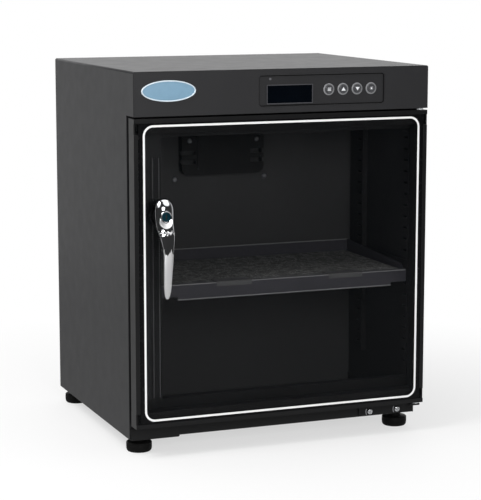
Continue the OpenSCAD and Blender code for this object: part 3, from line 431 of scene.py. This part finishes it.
def circuit_board(name, color):
    """Green solder mask with lighter copper tracks under it."""
    finish = Finish(name, color, 0.35)
    tracks = finish.node("ShaderNodeTexBrick")
    tracks.inputs["Scale"].default_value = 1 / (6 * MM)
    tracks.inputs["Mortar Size"].default_value = 0.03
    finish.link(finish.stretched((1, 1, 1)), tracks.inputs["Vector"])
    finish.blend(tracks.outputs["Fac"], color, tone(color, 2.2))
    return finish.material


def enamel(name, color):
    """Glossy enamel under a thin clear coat."""
    finish = Finish(name, color, 0.25, coat=0.5, coat_rough=0.08)
    finish.blend(finish.noise(10 * MM, detail=3), tone(color, 0.92), tone(color, 1.08))
    return finish.material


# Colours that more than one finish uses, as linear values
CHROME = (0.72, 0.73, 0.75)
# Near white, painted on the lever's tail and spots as a painted reflection
PAINTED_REFLECTION_WHITE = (0.97, 0.97, 0.98)
RUBBER = (0.006, 0.006, 0.006)
DEEP = (0.014, 0.014, 0.015)

# The finish of each slot
FINISHES = {
    "paint": coated_steel("charcoal_coat", (0.0200, 0.0200, 0.0215)),
    "dark_paint": coated_steel("dark_coat", DEEP),
    "liner_paint": coated_steel("liner_coat", (0.040, 0.040, 0.041), rough=0.5),
    "frame_coat": coated_steel(
        "frame_coat", (0.0065, 0.0065, 0.0070), rough=0.32, grain=0.3 * MM, depth=0.01 * MM),
    "tray_paint": coated_steel("tray_coat", (0.037, 0.036, 0.043), rough=0.45),
    "zinc": plated_steel("zinc_plate", (0.46, 0.47, 0.49)),
    "chrome": polished_chrome("chrome_plate", CHROME),
    "fins": plated_steel("mill_aluminium", (0.62, 0.63, 0.65), rough=0.38, streak=(1, 8, 1)),
    "black_plastic": moulded_plastic("black_plastic", (0.018, 0.018, 0.019)),
    "screen": dark_screen("screen", (0.0008, 0.0016, 0.0030)),
    "white_plastic": moulded_plastic("white_plastic", (0.72, 0.74, 0.76), rough=0.4),
    "board": circuit_board("board", (0.01, 0.06, 0.025)),
    "badge": enamel("badge_field", (0.18, 0.31, 0.42)),
    "foot_rubber": soft_rubber("foot_rubber", RUBBER, rough=0.5),
    "seal": soft_rubber("seal_rubber", RUBBER),
    "foam": foam_sheet("foam", (0.145, 0.145, 0.143)),
    "tinted_glass": tinted_glass("door_glass", (0.004, 0.005, 0.006), 0.15),
    "black_print": printed("black_print", (0.0035, 0.0035, 0.004), shine=0.12),
    "white_print": printed("white_print", (0.78, 0.78, 0.78), rough=0.35),
}

# Finishes of single nodes and pieces
LEVER = lever_chrome("lever_chrome", CHROME)
SATIN = plated_steel("satin_chrome", (0.9, 0.91, 0.93), rough=0.36)
KEY_FACE = plated_steel("key_face", (0.015, 0.085, 0.12), rough=0.28, streak=(8, 1, 1))
BLACKENED = plated_steel("blackened_steel", (0.03, 0.03, 0.032), rough=0.4)
BADGE_RIM = enamel("badge_rim", (0.58, 0.66, 0.72))
WINDOW_EDGE = coated_steel("window_edge", (0.045, 0.045, 0.05), rough=0.4, grain=0.3 * MM, depth=0.02 * MM)
BUTTON_GREY = moulded_plastic("button_grey", (0.045, 0.046, 0.05), rough=0.35)
RING = moulded_plastic("button_ring", (0.19, 0.192, 0.20), rough=0.3)
SIGN = printed("button_sign", (0.70, 0.71, 0.73), rough=0.4)
SMOKED = moulded_plastic("smoked_lamp", (0.10, 0.10, 0.11), rough=0.3)
JAMB = coated_steel("jamb_coat", DEEP, rough=0.5)
FOLD = coated_steel("fold_coat", (0.012, 0.012, 0.013), rough=0.5)
# Painted shade: darker than the casing's paint, for the shade low on the cabinet, on the front rail, corner
# plate and lower hinge.
SHADED_RAIL = coated_steel("rail_coat_painted_shade", (0.0085, 0.0085, 0.0090), shine=0.2)
STRIP = moulded_plastic("strip_coat", (0.010, 0.010, 0.011), rough=0.45, shine=0.25)
BEAD = moulded_plastic("strip_bead", (0.2, 0.2, 0.205), rough=0.4)
VENT = moulded_plastic("vent_plastic", (0.010, 0.010, 0.0105), shine=0.2)
CLIP = coated_steel("clip_coat", (0.072, 0.072, 0.074), rough=0.45)
# Painted highlight: far lighter than the tray's paint, for the light that the tray's bends catch.
TRAY_EDGE_HIGHLIGHT = coated_steel("tray_edge", (0.17, 0.17, 0.175), rough=0.4, grain=0.3 * MM)

# Nodes that look different from the rest of their slot
OWN_FINISH = {
    "status_lamp": SMOKED, "lock_jamb": JAMB, "hinge_jamb": JAMB, "bay_floor": FOLD, "front_rail": SHADED_RAIL,
    "corner_plate": SHADED_RAIL, "lower_hinge": SHADED_RAIL, "strike_plate": BLACKENED, "latch_cam": BLACKENED,
    "lock_nut": BLACKENED, "lock_body": BLACKENED, "inner_vent_cover": VENT,
}

# Widths of the rounded edges on folded sheet and mouldings, in millimetres
EDGE_WIDTHS = {
    "outer_casing": 0.35, "front_rail": 0.35, "lock_jamb": 0.35, "hinge_jamb": 0.35, "header_fascia": 0.35,
    "corner_plate": 0.35, "lower_hinge": 0.4, "lock_stile": 0.4, "hinge_stile": 0.4, "top_cap": 0.4,
    "bottom_cap": 0.4, "shelf_tray": 0.3, "inner_vent_cover": 0.4, "rear_vent_cover": 0.5,
    "control_bezel": 0.3, "rear_panel": 0.3, "bay_floor": 0.3,
}


def dress_nodes():
    """Gives every carried-over node its finish, and folded sheet its rounded edges."""
    for part in RECORD["subparts"]:
        node = frame["nodes"][part["node"]]
        node.data.materials.clear()
        node.data.materials.append(OWN_FINISH.get(part["node"], FINISHES[part["material_slot"]]))
        for polygon in node.data.polygons:
            polygon.material_index = 0
    for name, width in EDGE_WIDTHS.items():
        bevel(frame["nodes"][name], width * MM)


# Lever and lock

# Height, half width, depth of the front, depth of the back, squareness and shift to the right, in millimetres
LEVER_ROWS = [
    (22.0, 1.8, 9.0, 7.4, 1.0, 0.5),
    (21.4, 4.6, 10.6, 5.7, 0.98, 0.5),
    (19.2, 7.9, 13.2, 3.7, 0.95, 0.5),
    (15.6, 10.4, 15.7, 2.0, 0.92, 0.5),
    (9.6, 12.0, 17.6, 1.1, 0.9, 0.5),
    (0.0, 12.1, 18.1, 1.1, 0.88, 0.5),
    (-8.4, 11.8, 18.0, 1.3, 0.84, 0.7),
    (-15.0, 11.1, 18.1, 5.2, 0.78, 1.1),
    (-18.0, 10.6, 18.6, 7.6, 0.68, 1.3),
    (-22.0, 10.0, 20.0, 10.4, 0.65, 1.6),
    (-26.2, 9.3, 20.5, 12.8, 0.6, 1.8),
    (-36.0, 7.6, 21.2, 16.0, 0.55, 2.1),
    (-46.6, 6.2, 21.7, 17.8, 0.5, 2.2),
    (-58.0, 5.9, 21.9, 18.0, 0.5, 1.8),
    (-70.0, 5.4, 21.7, 18.0, 0.5, 1.3),
    (-88.6, 4.6, 20.9, 17.7, 0.55, 0.8),
    (-98.0, 3.1, 20.1, 17.4, 0.7, 0.6),
    (-101.8, 1.4, 19.5, 17.8, 0.9, 0.5),
]
LEVER_SIDES = 64
LEVER_STEPS = 6
# The lever's back stays at least this far in front of the header's face, in millimetres
LEAST_DEPTH = 1.1
HEAD_FACE = 18.04 * MM
PLUG_R = (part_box("key_plug")[1].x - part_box("key_plug")[0].x) / 2
KEY_PLACE = facing(LOCK.x, LOCK.y - HEAD_FACE, LOCK.z)


def between(rows, place):
    """A smooth curve through rows of numbers."""
    index = min(int(place), len(rows) - 2)
    t = place - index
    a, b, c, d = (rows[min(max(index + k, 0), len(rows) - 1)] for k in (-1, 0, 1, 2))
    return [
        q + (r - p) * t / 2 + (2 * p - 5 * q + 4 * r - s) * t * t / 2 + (3 * q - p - 3 * r + s) * t ** 3 / 2
        for p, q, r, s in zip(a, b, c, d)
    ]


def lever():
    """Head and tail in one skin through oval sections."""
    rings = []
    for step in range((len(LEVER_ROWS) - 1) * LEVER_STEPS + 1):
        height, half, front, back, square, shift = between(LEVER_ROWS, step / LEVER_STEPS)
        ring = []
        for k in range(LEVER_SIDES):
            angle = TAU * k / LEVER_SIDES
            across, out = (math.copysign(abs(v) ** square, v) for v in (math.cos(angle), math.sin(angle)))
            depth = max((front + back) / 2 + (front - back) / 2 * out, LEAST_DEPTH)
            ring.append(LOCK + Vector((shift + half * across, -depth, height)) * MM)
        rings.append(ring)
    add_piece("lever", [skin(rings)], "handle", LEVER, ["lever_handle"], sharp_angle=60)


def lever_ring():
    """The ring round the key cylinder, and the spindle behind the head."""
    rows = [(0.1, -2.0), (1.5, -2.0), (1.5, 0.4), (1.15, 0.85), (0.6, 0.85), (0.1, 0.5), (0.1, -2.0)]
    ring = lathe([(PLUG_R + r * MM, h * MM) for r, h in rows], 64, capped=False)
    spindle_r = 6.4 * MM
    spindle_end = -36 * MM
    spindle = lathe([(spindle_r, -HEAD_FACE), (spindle_r, spindle_end)])
    parts = [moved(part, KEY_PLACE) for part in (ring, spindle)]
    add_piece("lever_ring", parts, "handle", FINISHES["chrome"])


def lever_collar():
    """A ledge that rises from under the ring to a horseshoe lip."""
    half_w, length, start, rise = 7.9 * MM, 9.2 * MM, 4.8 * MM, 2.0 * MM
    thin, thick = 0.2 * MM, 0.7 * MM
    inner_r = PLUG_R + 1.3 * MM
    sunk = Vector((0, 0, -0.3 * MM))
    below = Vector((0, 0, -2 * MM))
    steps = 40
    sides = 12
    lip, ledge = [], []
    for step in range(steps + 1):
        angle = math.pi * (step / steps - 1)
        out = Vector((math.cos(angle), math.sin(angle), 0))
        lift = -out.y
        edge = Vector((half_w * out.x, length * out.y - start, rise * lift))
        # The lip thickens over the first third of its rise
        tube = thin + (thick - thin) * min(1.0, 3 * lift)
        lip.append([edge + out * across + Vector((0, 0, up)) for across, up in circle(tube, sides)])
        inner = out * inner_r + sunk
        outer_foot = edge + Vector((out.x, out.y, -4)) * MM
        ledge.append([inner, edge, outer_foot, inner + below])
    parts = [moved(skin(rings), KEY_PLACE) for rings in (lip, ledge)]
    add_piece("lever_collar", parts, "handle", SATIN, sharp_angle=30)


def key_cylinder():
    """The plug's face with its keyway, and the barrel round and behind it."""
    keyway = rounded(1.6 * MM, 6.4 * MM, 0.4 * MM, 3)
    face = plate([circle(PLUG_R - 0.2 * MM), keyway], -0.6 * MM, 0.25 * MM)
    rows = [(0.05, -13.0), (0.05, 0.2), (0.4, 0.5), (1.0, 0.5), (1.2, 0.2), (1.2, -4.0), (3.6, -4.0)]
    barrel = lathe([(PLUG_R - r * MM, h * MM) for r, h in rows])
    parts = [moved(part, KEY_PLACE) for part in (face, barrel)]
    add_piece("key_cylinder", parts, "key", KEY_FACE, ["key_plug"])


# Header

def badge():
    """An oval badge with a rounded rim and a slightly domed, bare field."""
    low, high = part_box("badge_plate")
    width, height = high.x - low.x, high.z - low.z
    middle = (low + high) / 2
    at = facing(middle.x, FACE_Y, middle.z)
    sides = 96
    rim = []
    # Distance in from the edge and rise over the header's face, in millimetres
    for inset, rise in [(0.0, 0.0), (0.0, 1.1), (0.3, 1.5), (1.1, 1.6), (1.5, 1.3), (1.7, 0.8)]:
        across, up = width / 2 - inset * MM, height / 2 - inset * MM
        rim.append([(x, y, rise * MM) for x, y in circle(across, sides, up / across)])
    add_piece("badge_rim", [moved(skin(rim), at)], "cabinet", BADGE_RIM, ["badge_plate"])

    field = []
    rim_w = 1.5 * MM
    field_half = width / 2 - rim_w
    edge_rise, dome = 0.8 * MM, 0.6 * MM
    smallest = 0.005
    steps = 8
    for step in range(steps + 1):
        share = 1 - step / steps * (1 - smallest)
        rise = edge_rise + dome * (1 - share ** 2)
        field.append([(x, y, rise) for x, y in circle(field_half * share, sides, height / width)])
    add_piece("badge_field", [moved(skin(field), at)], "cabinet", FINISHES["badge"])


def display_frame():
    """A thin raised frame round the display window."""
    low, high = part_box("display_window")
    middle = (low + high) / 2
    width, height = high.x - low.x, high.z - low.z
    wider, narrower = 1.6 * MM, 1.2 * MM
    thickness = 0.35 * MM
    outer = rounded(width + wider, height + wider, 1.4 * MM)
    inner = rounded(width - narrower, height - narrower, 0.6 * MM)
    part = moved(plate([outer, inner], 0, thickness), facing(middle.x, low.y, middle.z))
    piece = add_piece("display_frame", [part], "cabinet", WINDOW_EDGE)
    bevel(piece, 0.12 * MM)


def panel_painted_shade():
    """A dark bead where the panel's sunk face meets its wall: painted shade in the panel's edge."""
    low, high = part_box("control_bezel")
    middle = (low + high) / 2
    flange = 3 * MM
    wall = 1.2 * MM
    bead = 1.2 * MM
    depth = 2 * MM
    thickness = 0.2 * MM
    width = high.x - low.x - 2 * (flange + wall)
    height = high.z - low.z - 2 * (flange + wall)
    outlines = [rounded(width, height, 3.8 * MM), rounded(width - 2 * bead, height - 2 * bead, 2.6 * MM)]
    part = moved(plate(outlines, -depth, thickness - depth), facing(middle.x, FACE_Y, middle.z))
    # The seal's black rubber, put there as painted shade.
    add_piece("panel_painted_shade", [part], "cabinet", FINISHES["seal"])


BUTTON_R = 5.5 * MM
# Heights of a sign's two faces, measured from the cap's lip
SIGN_LOW = -0.32 * MM
SIGN_HIGH = -0.15 * MM
# The cap from its lip to its dished middle, and the ring round it, as (radius, height) in millimetres
BUTTON_ROWS = [(6.5, -5.6), (6.5, -4.6), (5.5, -4.6), (5.5, -0.5), (5.2, -0.12), (4.8, 0.0), (4.3, -0.1),
               (4.0, -0.35), (2.0, -0.3), (0.05, -0.28)]
RING_ROWS = [(5.6, 0.0), (7.5, 0.0), (7.5, 0.4), (7.0, 0.9), (6.4, 1.15), (5.9, 1.0), (5.6, 0.6), (5.6, 0.0)]


def bar(low):
    """One bar of the menu sign."""
    return [(-0.42, low), (0.42, low), (0.42, low + 0.13), (-0.42, low + 0.13)]


def ray(angle):
    """One pointed ray of the lamp sign."""
    corners = [(0.3, angle - 0.14), (0.46, angle), (0.3, angle + 0.14)]
    return [(reach * math.cos(turn), reach * math.sin(turn)) for reach, turn in corners]


# Signs on the buttons, as outlines in shares of the button's radius
SIGNS = {
    "set": [bar(low) for low in (-0.35, -0.065, 0.22)],
    "up": [[(-0.52, -0.38), (0.52, -0.38), (0, 0.42)]],
    "down": [[(0, -0.42), (0.52, 0.38), (-0.52, 0.38)]],
    "lamp": [circle(0.2, 24)] + [ray(TAU * k / 8) for k in range(8)],
}


def buttons():
    """Four push buttons, each with its sign, and the rings round them."""
    ring_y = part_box("button_rims")[1].y
    rings = []
    for name, outlines in SIGNS.items():
        low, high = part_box(f"{name}_button")
        middle = (low + high) / 2
        at = facing(middle.x, low.y, middle.z)
        cap = moved(lathe([(r * MM, h * MM) for r, h in BUTTON_ROWS], 64), at)
        add_piece(f"{name}_cap", [cap], f"{name}_key", BUTTON_GREY, [f"{name}_button"])
        signs = []
        for outline in outlines:
            drawn = [(x * BUTTON_R, y * BUTTON_R) for x, y in outline]
            signs.append(moved(plate([drawn], SIGN_LOW, SIGN_HIGH), at))
        add_piece(f"{name}_sign", signs, f"{name}_key", SIGN, smooth=False)
        ring = lathe([(r * MM, h * MM) for r, h in RING_ROWS], 64, capped=False)
        rings.append(moved(ring, facing(middle.x, ring_y, middle.z)))
    add_piece("button_rings", rings, "cabinet", RING, ["button_rims"])


# Fasteners

SCREW_R = 3.5 * MM


def cross_screw(radius, height, matrix):
    """A pan head with a cross recess, its base at the matrix's origin."""
    arm, half = radius * 0.62, radius * 0.13
    cross = [(half, half), (arm, half), (arm, -half), (half, -half), (half, -arm), (-half, -arm),
             (-half, -half), (-arm, -half), (-arm, half), (-half, half), (-half, arm), (half, arm)]
    # Shares of the head's radius and height
    top = 0.72
    rows = [(0.1, 0.0), (1.0, 0.0), (1.0, 0.35), (0.96, 0.62), (0.87, 0.86), (top, 1.0), (top, 0.5),
            (0.1, 0.45)]
    sides = 40
    parts = [plate([circle(top * radius, sides), cross], 0.45 * height, 0.999 * height),
             lathe([(r * radius, h * height) for r, h in rows], sides)]
    return [moved(part, matrix) for part in parts]


def hinge_screws():
    """The two screws in the lower hinge, each with the bright edge of the slot beside it."""
    low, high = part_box("hinge_screws")
    radius = (high.z - low.z) / 2
    turned = Matrix.Rotation(math.radians(20), 4, "Z")
    enlarged = 1.15
    stretched = 1.15
    turns = [math.radians(145 + 9 * k) for k in range(9)]
    heads = []
    edges = []
    for x in (low.x + radius, high.x - radius):
        at = facing(x, high.y, (low.z + high.z) / 2)
        heads += cross_screw(radius * enlarged, high.y - low.y, at @ turned)
        arc = []
        for reach, angles in ((6.3 * MM, turns), (5.2 * MM, turns[::-1])):
            arc += [(reach * math.cos(a), reach * math.sin(a) * stretched) for a in angles]
        edges.append(moved(plate([arc], 0, 0.25 * MM), at))
    add_piece("hinge_screw_heads", heads, "cabinet", FINISHES["chrome"], ["hinge_screws"])
    add_piece("hinge_slot_edges", edges, "cabinet", FINISHES["zinc"])


def chamber_screws():
    """Two screws low on the back wall and two on the vent cover."""
    wall_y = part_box("chamber_back")[0].y
    low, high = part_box("chamber_screws")
    cover_low, cover_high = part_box("inner_vent_cover")
    cover_d = 14 * MM
    apart = 49 * MM
    height = 2 * MM
    heads = []
    for x in (low.x + SCREW_R, high.x - SCREW_R):
        heads += cross_screw(SCREW_R, height, facing(x, wall_y, low.z + SCREW_R))
    for side in (-1, 1):
        x = (cover_low.x + cover_high.x) / 2 + side * apart
        heads += cross_screw(SCREW_R, height, facing(x, wall_y - cover_d, high.z - SCREW_R))
    add_piece("chamber_screw_heads", heads, "cabinet", FINISHES["zinc"], ["chamber_screws"])


def rear_screws():
    """Three screws down each side of the rear panel."""
    low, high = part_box("rear_screws")
    casing_low, casing_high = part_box("outer_casing")
    turned = Matrix.Rotation(math.pi, 4, "Z")
    height = 1.6 * MM
    heads = []
    for x in (low.x + SCREW_R, high.x - SCREW_R):
        for z in (low.z + SCREW_R, (casing_low.z + casing_high.z) / 2, high.z - SCREW_R):
            heads += cross_screw(SCREW_R, height, Matrix.Translation((x, low.y, z)) @ turned @ FRONT)
    add_piece("rear_screw_heads", heads, "cabinet", FINISHES["zinc"], ["rear_screws"])


# Feet

def feet():
    """Four round cups with a groove below the shoulder, and a neck."""
    low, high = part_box("feet")
    radius = 16.5 * MM
    top = high.z / MM
    rows = [(13.2, 0.0), (14.6, 0.4), (15.7, 1.6), (16.3, 3.4), (16.5, 6.0), (16.5, 9.3), (16.2, 9.8),
            (16.2, 10.4), (16.5, 10.8), (16.4, 11.6), (15.6, 12.5), (13.0, 12.9), (9.4, 13.1), (8.4, 13.6),
            (8.25, 14.5), (8.25, top), (2.7, top), (2.7, 6.0), (6.5, 6.0), (6.5, 0.6), (7.1, 0.0),
            (13.2, 0.0)]
    cup = lathe([(r * MM, h * MM) for r, h in rows], 72, capped=False)
    parts = []
    for x in (low.x + radius, high.x - radius):
        for y in (low.y + radius, high.y - radius):
            parts.append(moved(cup, Matrix.Translation((x, y, 0))))
    add_piece("foot_cups", parts, "cabinet", FINISHES["foot_rubber"], ["feet"], sharp_angle=50)


# Chamber and shelf

def jamb_strip():
    """The strip on the wide jamb with its two columns of fine beads."""
    low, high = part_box("jamb_strip")
    outline = [(low.x, low.z), (high.x, low.z), (high.x, high.z), (low.x, high.z)]
    part = moved(plate([outline], 0, high.y - low.y), facing(0, high.y, 0))
    add_piece("strip", [part], "cabinet", STRIP, ["jamb_strip"], smooth=False)

    pitch = 2.7 * MM
    count = int((high.z - low.z) / pitch) - 1
    first = (low.z + high.z) / 2 - (count - 1) * pitch / 2
    column = (high.x - low.x) / 3.2
    dome = lathe([(0.65 * MM, 0.0), (0.55 * MM, 0.25 * MM), (0.25 * MM, 0.4 * MM)], 10)
    beads = []
    for row in range(count):
        for x in ((low.x + high.x) / 2 - column, (low.x + high.x) / 2 + column):
            beads.append(moved(dome, facing(x, low.y, first + row * pitch)))
    add_piece("strip_beads", beads, "cabinet", BEAD)


def foam_mat():
    """The shelf's mat with soft edges."""
    low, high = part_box("shelf_mat")
    middle = ((low.x + high.x) / 2, (low.y + high.y) / 2)
    width, length = high.x - low.x, high.y - low.y
    inset = 0.9 * MM
    full = rounded(width, length, 4 * MM, 6, middle)
    tight = rounded(width - 2 * inset, length - 2 * inset, 3.2 * MM, 6, middle)
    rows = ((tight, low.z), (full, low.z + inset), (full, high.z - inset), (tight, high.z))
    rings = [[(x, y, z) for x, y in points] for points, z in rows]
    mat = add_piece("foam_mat", [skin(rings)], "shelf", FINISHES["foam"], ["shelf_mat"])


CLIP_W = 48 * MM


def clips():
    """Two bent plates that hold the mat down, with a short leg over the tray's front."""
    low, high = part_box("shelf_clips")
    sheet = 0.8 * MM
    drop = 6.2 * MM
    bend = 0.9 * MM
    steps = 4
    outline = [(high.y, high.z - sheet), (high.y, high.z)]
    for step in range(steps + 1):
        angle = math.pi / 2 * (1 + step / steps)
        outline.append((low.y + bend + bend * math.cos(angle), high.z - bend + bend * math.sin(angle)))
    outline += [(low.y, high.z - drop), (low.y + sheet, high.z - drop), (low.y + sheet, high.z - sheet)]
    parts = []
    for start in (low.x, high.x - CLIP_W):
        parts.append(skin([[(x, y, z) for y, z in outline] for x in (start, start + CLIP_W)]))
    piece = add_piece("clips", parts, "shelf", CLIP, ["shelf_clips"], smooth=False)
    bevel(piece, 0.15 * MM, 60)


def tray_highlight_bends():
    """Rounded bends along the tray's front flange, between the clips, and along the back upstand, painted
    light as the highlight they catch.
    """
    low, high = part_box("shelf_tray")
    clip_low, clip_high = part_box("shelf_clips")
    side = 1 * MM
    lip_in = 22 * MM
    front_y = low.y + 0.5 * MM
    front_z = clip_high.z - 1.4 * MM
    spans = [(low.x + side, clip_low.x, front_y, front_z),
             (clip_low.x + CLIP_W, clip_high.x - CLIP_W, front_y, front_z),
             (clip_high.x, high.x - side, front_y, front_z),
             (low.x + lip_in, high.x - lip_in, low.y + 1.3 * MM, low.z + 1.2 * MM),
             (low.x + side, high.x - side, high.y - 0.7 * MM, high.z - 0.4 * MM)]
    radius, end_r = 0.8 * MM, 0.4 * MM
    parts = []
    for start, end, y, z in spans:
        length = end - start
        rod = lathe([(end_r, 0.0), (radius, end_r), (radius, length - end_r), (end_r, length)], 16)
        parts.append(moved(rod, Matrix.Translation((start, y, z)) @ Matrix.Rotation(math.pi / 2, 4, "Y")))
    add_piece("tray_highlight_bends", parts, "shelf", TRAY_EDGE_HIGHLIGHT)


# Width in millimetres and share of the depth, round the seal's foot, bulb and outer lip
SEAL_ROWS = [(-2.0, 0.0), (2.0, 0.0), (2.0, 0.12), (1.3, 0.2), (1.2, 0.32), (1.9, 0.45), (2.0, 0.7),
             (1.6, 0.93), (0.6, 1.0), (-0.9, 0.98), (-1.8, 0.88), (-2.0, 0.6), (-1.6, 0.4), (-1.1, 0.3),
             (-1.2, 0.16), (-2.0, 0.1)]


def seal():
    """The door seal, swept round the frame."""
    low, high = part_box("door_gasket")
    inset = 2 * MM
    middle = ((low.x + high.x) / 2, (low.z + high.z) / 2)
    outline = rounded(high.x - low.x - 2 * inset, high.z - low.z - 2 * inset, 2.2 * MM, 6, middle)
    backward = Vector((0, 1, 0))
    path = []
    for k, (x, z) in enumerate(outline):
        before, after = outline[k - 1], outline[(k + 1) % len(outline)]
        along = Vector((after[0] - before[0], 0, after[1] - before[1])).normalized()
        path.append((Vector((x, low.y, z)), along.cross(backward), backward))
    shape = band([(a * MM, b * (high.y - low.y)) for a, b in SEAL_ROWS], path)
    add_piece("seal", [shape], "door", FINISHES["seal"], ["door_gasket"])


# Stage

FOCAL_PX = 1802.8
PICTURE_H = 500
SENSOR = 36.0
CAMERA_AT = (-0.8794, FACE_Y - 2.0814, 0.6147)
CAMERA_YAW = 21.483
CAMERA_PITCH = 9.035

# Rectangular soft lamps: place, target, size and watts
LAMPS = {
    "left_box": ((-1.35, -0.35, 1.77), (0, 0, 0.3), (0.9, 1.1), 32),
    "front_box": ((-0.25, -1.95, 0.80), (0, 0, 0.25), (0.6, 0.6), 15),
}

# The floor turns to white between two distances from its middle
FLOOR_RADIUS = 1.4
FLOOR_WHITE_FROM = 0.25
FLOOR_WHITE_TO = 0.75
FLOOR_NEAR_SHARE = 0.6
FLOOR_MIRRORED = 0.45

# What glossy surfaces mirror: a room that is dim in front and bright behind, and soft cards in it
ROOM_TURN = 40
ROOM_DIM = 0.04
ROOM_BRIGHT = 1.2
ROOM_FROM = 0.12
ROOM_TO = 0.95
# A direction and half an angle in degrees, about which each card fades out
SOFT_CARDS = [((-0.68, -0.25, 0.69), 22), ((0.376, -0.52, 0.77), 20), ((0.25, 0.05, 0.97), 22)]
CARD_FADE_OUT = 5
CARD_FADE_IN = 3
CARD_LEVEL = 1.7
FILL = 0.65


def camera():
    """The camera, at the angle that was fitted to the cabinet's corners."""
    data = bpy.data.cameras.new("camera")
    data.sensor_width = SENSOR
    data.lens = FOCAL_PX / PICTURE_H * SENSOR
    data.dof.use_dof = False
    made = bpy.data.objects.new("camera", data)
    made.location = CAMERA_AT
    made.rotation_euler = (math.radians(90 - CAMERA_PITCH), 0, math.radians(-CAMERA_YAW))
    SCENE.collection.objects.link(made)
    SCENE.camera = made


def lamps():
    """The soft lamps, each pointed at its target."""
    for name, (place, target, size, power) in LAMPS.items():
        data = bpy.data.lights.new(name, "AREA")
        data.shape = "RECTANGLE"
        data.size, data.size_y = size
        data.energy = power
        made = bpy.data.objects.new(name, data)
        made.location = place
        made.rotation_euler = (Vector(target) - Vector(place)).to_track_quat("-Z", "Y").to_euler()
        SCENE.collection.objects.link(made)


def floor():
    """A pale floor that keeps a soft shadow near the cabinet and runs out into white."""
    mesh = bpy.data.meshes.new("floor")
    build = bmesh.new()
    bmesh.ops.create_circle(build, cap_ends=True, radius=FLOOR_RADIUS, segments=96)
    build.to_mesh(mesh)
    build.free()
    made = bpy.data.objects.new("floor", mesh)
    SCENE.collection.objects.link(made)

    finish = Finish("floor", (0.8, 0.8, 0.8), 0.6, shine=0.2)
    finish.blend(finish.noise(0.4, detail=3), (0.79, 0.79, 0.79), (0.81, 0.81, 0.81))
    far = finish.node("ShaderNodeVectorMath", operation="LENGTH")
    finish.link(finish.place, far.inputs[0])
    white = finish.ramp(far.outputs["Value"], FLOOR_WHITE_FROM, FLOOR_WHITE_TO, FLOOR_NEAR_SHARE, 1.0)
    path = finish.node("ShaderNodeLightPath")
    share = finish.combine("MULTIPLY", white, finish.seen(path))
    lit = finish.choose(share, finish.shader.outputs["BSDF"], finish.glow(1.0))
    surface = finish.choose(path.outputs["Is Glossy Ray"], lit, finish.glow(FLOOR_MIRRORED))
    finish.link(surface, finish.tree.nodes["Material Output"].inputs["Surface"])
    mesh.materials.append(finish.material)


def world():
    """White behind the cabinet, a dim room in front of it, and an even fill."""
    made = bpy.data.worlds.new("world")
    SCENE.world = made
    made.use_nodes = True
    made.node_tree.nodes.clear()
    nodes = Nodes(made.node_tree)
    coords = nodes.node("ShaderNodeTexCoord")

    def toward(direction):
        """How far the view turns toward a direction."""
        turned = nodes.node("ShaderNodeVectorMath", operation="DOT_PRODUCT")
        nodes.link(coords.outputs["Generated"], turned.inputs[0])
        turned.inputs[1].default_value = direction
        return turned.outputs["Value"]

    turn = math.radians(ROOM_TURN)
    soft = {"interpolation_type": "SMOOTHSTEP"}
    behind = toward((math.sin(turn), math.cos(turn), 0))
    mirrored = nodes.ramp(behind, ROOM_FROM, ROOM_TO, ROOM_DIM, ROOM_BRIGHT, **soft)
    for direction, spread in SOFT_CARDS:
        outer = math.cos(math.radians(spread + CARD_FADE_OUT))
        inner = math.cos(math.radians(spread - CARD_FADE_IN))
        card = nodes.ramp(toward(Vector(direction).normalized()), outer, inner, 0.0, CARD_LEVEL, **soft)
        mirrored = nodes.combine("ADD", mirrored, card)

    shiny, fill, white = (nodes.background() for _ in range(3))
    nodes.link(mirrored, shiny.inputs["Strength"])
    fill.inputs["Strength"].default_value = FILL
    white.inputs["Strength"].default_value = 1.0
    path = nodes.node("ShaderNodeLightPath")
    glossy = path.outputs["Is Glossy Ray"]
    unseen = nodes.choose(glossy, fill.outputs["Background"], shiny.outputs["Background"])
    surface = nodes.choose(nodes.seen(path), unseen, white.outputs["Background"])
    nodes.link(surface, nodes.node("ShaderNodeOutputWorld").inputs["Surface"])


dress_nodes()
lever()
lever_ring()
lever_collar()
key_cylinder()
badge()
display_frame()
panel_painted_shade()
buttons()
hinge_screws()
chamber_screws()
rear_screws()
feet()
jamb_strip()
foam_mat()
clips()
tray_highlight_bends()
seal()
camera()
floor()
world()
lamps()

SCENE.view_settings.view_transform = "Standard"
